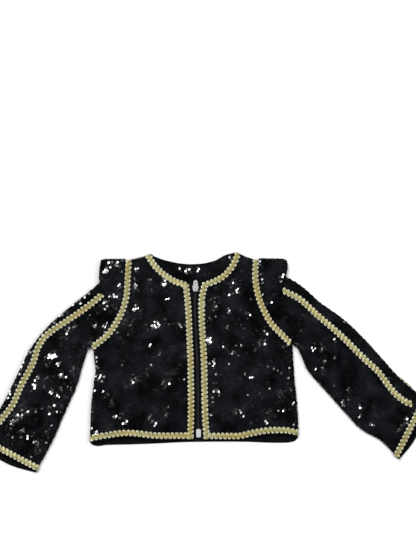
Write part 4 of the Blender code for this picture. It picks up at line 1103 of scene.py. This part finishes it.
rng = np.random.default_rng(SEED)
halves = (
    (-1, "right", (RIGHT_SIDE, RIGHT_ARMHOLE, RIGHT_FRONT_EDGE, RIGHT_NECK, RIGHT_SHOULDER, RIGHT_HEM),
     RIGHT_SLEEVE, RIGHT_WING, RIGHT_STRIPE),
    (1, "left", (LEFT_SIDE, LEFT_ARMHOLE, LEFT_FRONT_EDGE, LEFT_NECK, LEFT_SHOULDER, LEFT_HEM),
     LEFT_SLEEVE, LEFT_WING, LEFT_STRIPE),
)
back = back_grid()
back_cloth = cloth_piece("back_cloth", "back", back, net)


back_sequins = dressed("back_sequins", back, sequin_black, rng, neck_only)
for sign, word, curves, table, wing_table, stripe in halves:
    side, armhole, edge, neck, shoulder, hem = curves
    front = front_grid(curves)
    tube = sleeve_grid(sign, table, armhole, front, back)
    upper = tube[:, : front.shape[0] - armpit_number()]
    wing = wing_grid(wing_table, table, armhole, [upper])
    front_cloth = cloth_piece(f"front_cloth_{word}", f"front_{word}", front, net)
    sleeve_cloth = cloth_piece(f"sleeve_cloth_{word}", f"sleeve_{word}", tube, net, closed=True)
    wing_cloth = cloth_piece(f"wing_cloth_{word}", f"wing_{word}", wing, net)
    fold = curve(side, np.linspace(*SIDE_SPAN, 90))
    folds = [(fold, fold * [0.0, 1.0])]
    front_sequins = dressed(f"front_sequins_{word}", front, sequin_black, rng, folds=folds)
    shares = np.linspace(*OUTER_SPAN, 120)
    head, under = curve(table, shares), curve(table, np.linspace(*INNER_SPAN, 120))
    shown = [shares < BACK_STRIPE_SPAN[0], shares > BACK_STRIPE_SPAN[1]] if sign > 0 else [shares > 0]
    folds = [(head[part, :2], head[part, 2:]) for part in shown] + [(under[:, 2:], under[:, :2])]
    sleeve_sequins = dressed(f"sleeve_sequins_{word}", upper, sequin_black, rng, folds=folds)
    wing_sequins = dressed(
        f"wing_sequins_{word}", wing, sequin_black, rng, lambda p: (p[:, 2] > 2.0) & beyond(p, armhole)
    )
    surfaces = [front, upper]
    inset = BRAID_INSET if sign < 0 else -BRAID_INSET
    last, axis = np.array(table[-1], float), sleeve_axis(table)
    cuff = [last[:2] - axis * BRAID_INSET, last[2:] - axis * BRAID_INSET]
    in_from_roll = (cuff[1] - cuff[0]) / np.linalg.norm(cuff[1] - cuff[0]) * (ROLL + 0.2)
    fine = curve(stripe, np.linspace(0, 1, 400))
    free = curve(wing_table, np.linspace(0, 1, 60))[:, 2:]
    away = np.linalg.norm(fine[:, None] - free[None], axis=2).min(axis=1)
    short = (cuff[0] - fine) @ axis
    begin = np.argmax(away > 1.0)
    runs = {
        "front": (trimmed(beside(edge, inset), 1.0, 2.0), (False, False), 2 * BRAID_INSET),
        "neck": (trimmed(inside_of(beside(neck, inset), shoulder), 1.2, 0), (False, True), 2 * BRAID_INSET),
        "hem": (trimmed(inside_of(beside(hem, -inset), side[:2]), 2.0, 0), (False, True), 0.0),
        "armhole": (trimmed(inside_of(armhole, shoulder), ARMPIT_TRIM[word], 0), (sign < 0, True), 0.0),
        "cuff": (np.linspace(cuff[0] + in_from_roll, cuff[1] - in_from_roll, 30), (True, True), 0.0),
        "sleeve": (fine[begin:][short[begin:] > BRAID_WIDTH / 2 + SEAM - CUFF_TUCK], (False, False), 0.0),
    }
    made = {}
    for place, (path, wraps, lap) in runs.items():
        made[place] = gimp(f"{place}_gimp_{word}", Ribbon(path, surfaces, wraps, lap), gold)
        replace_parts(made[place], f"{place}_braid_{word}")

edges = curve(LEFT_SLEEVE, np.linspace(*BACK_STRIPE_SPAN, 30))
rim = gimp("back_sleeve_gimp_left", Ribbon.round_edge(edges[:, :2], edges[:, 2:], -30, 52), gold)
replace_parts(rim, "back_sleeve_braid_left")
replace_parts(coil("zip_coil", nylon), "zip_chain")
for node in ("zip_tape_right", "zip_tape_left"):
    repaint(node, tape_cloth)
for node in ("zip_box", "zip_slider", "zip_pull"):
    repaint(node, metal)

# Pale floor and soft studio light.
bpy.ops.mesh.primitive_plane_add(size=12.0, location=(0, 0, -0.0002))
floor = bpy.context.object
floor.name = "floor"
floor.data.materials.append(principled("pale floor", (0.95, 0.95, 0.95), 0.9))


softbox("key light", (-2.4, 2.1, 3.4), 1.05, 195.0, glints=True)
softbox("top light", (-1.0, 1.1, 4.0), 3.2, 165.0, glints=False)
softbox("fill light", (2.6, -0.9, 3.4), 3.0, 100.0, glints=False)
# Small lights round the table, low down, that show only as glints where the jacket is seen from the side.
RIM_RADIUS, RIM_HEIGHT, RIM_COUNT = 3.5, 2.6, 8
for number in range(RIM_COUNT):
    turn = 2 * math.pi * number / RIM_COUNT
    place = (RIM_RADIUS * math.sin(turn), RIM_RADIUS * math.cos(turn), RIM_HEIGHT)
    softbox(f"rim light {number + 1}", place, 0.45, 3.5, glints=True)
world = bpy.data.worlds.new("studio")
world.use_nodes = True
world.node_tree.nodes["Background"].inputs["Color"].default_value = (0.9, 0.95, 1.0, 1.0)
world.node_tree.nodes["Background"].inputs["Strength"].default_value = 0.03
bpy.context.scene.world = world
bpy.context.scene.view_settings.view_transform = "Standard"
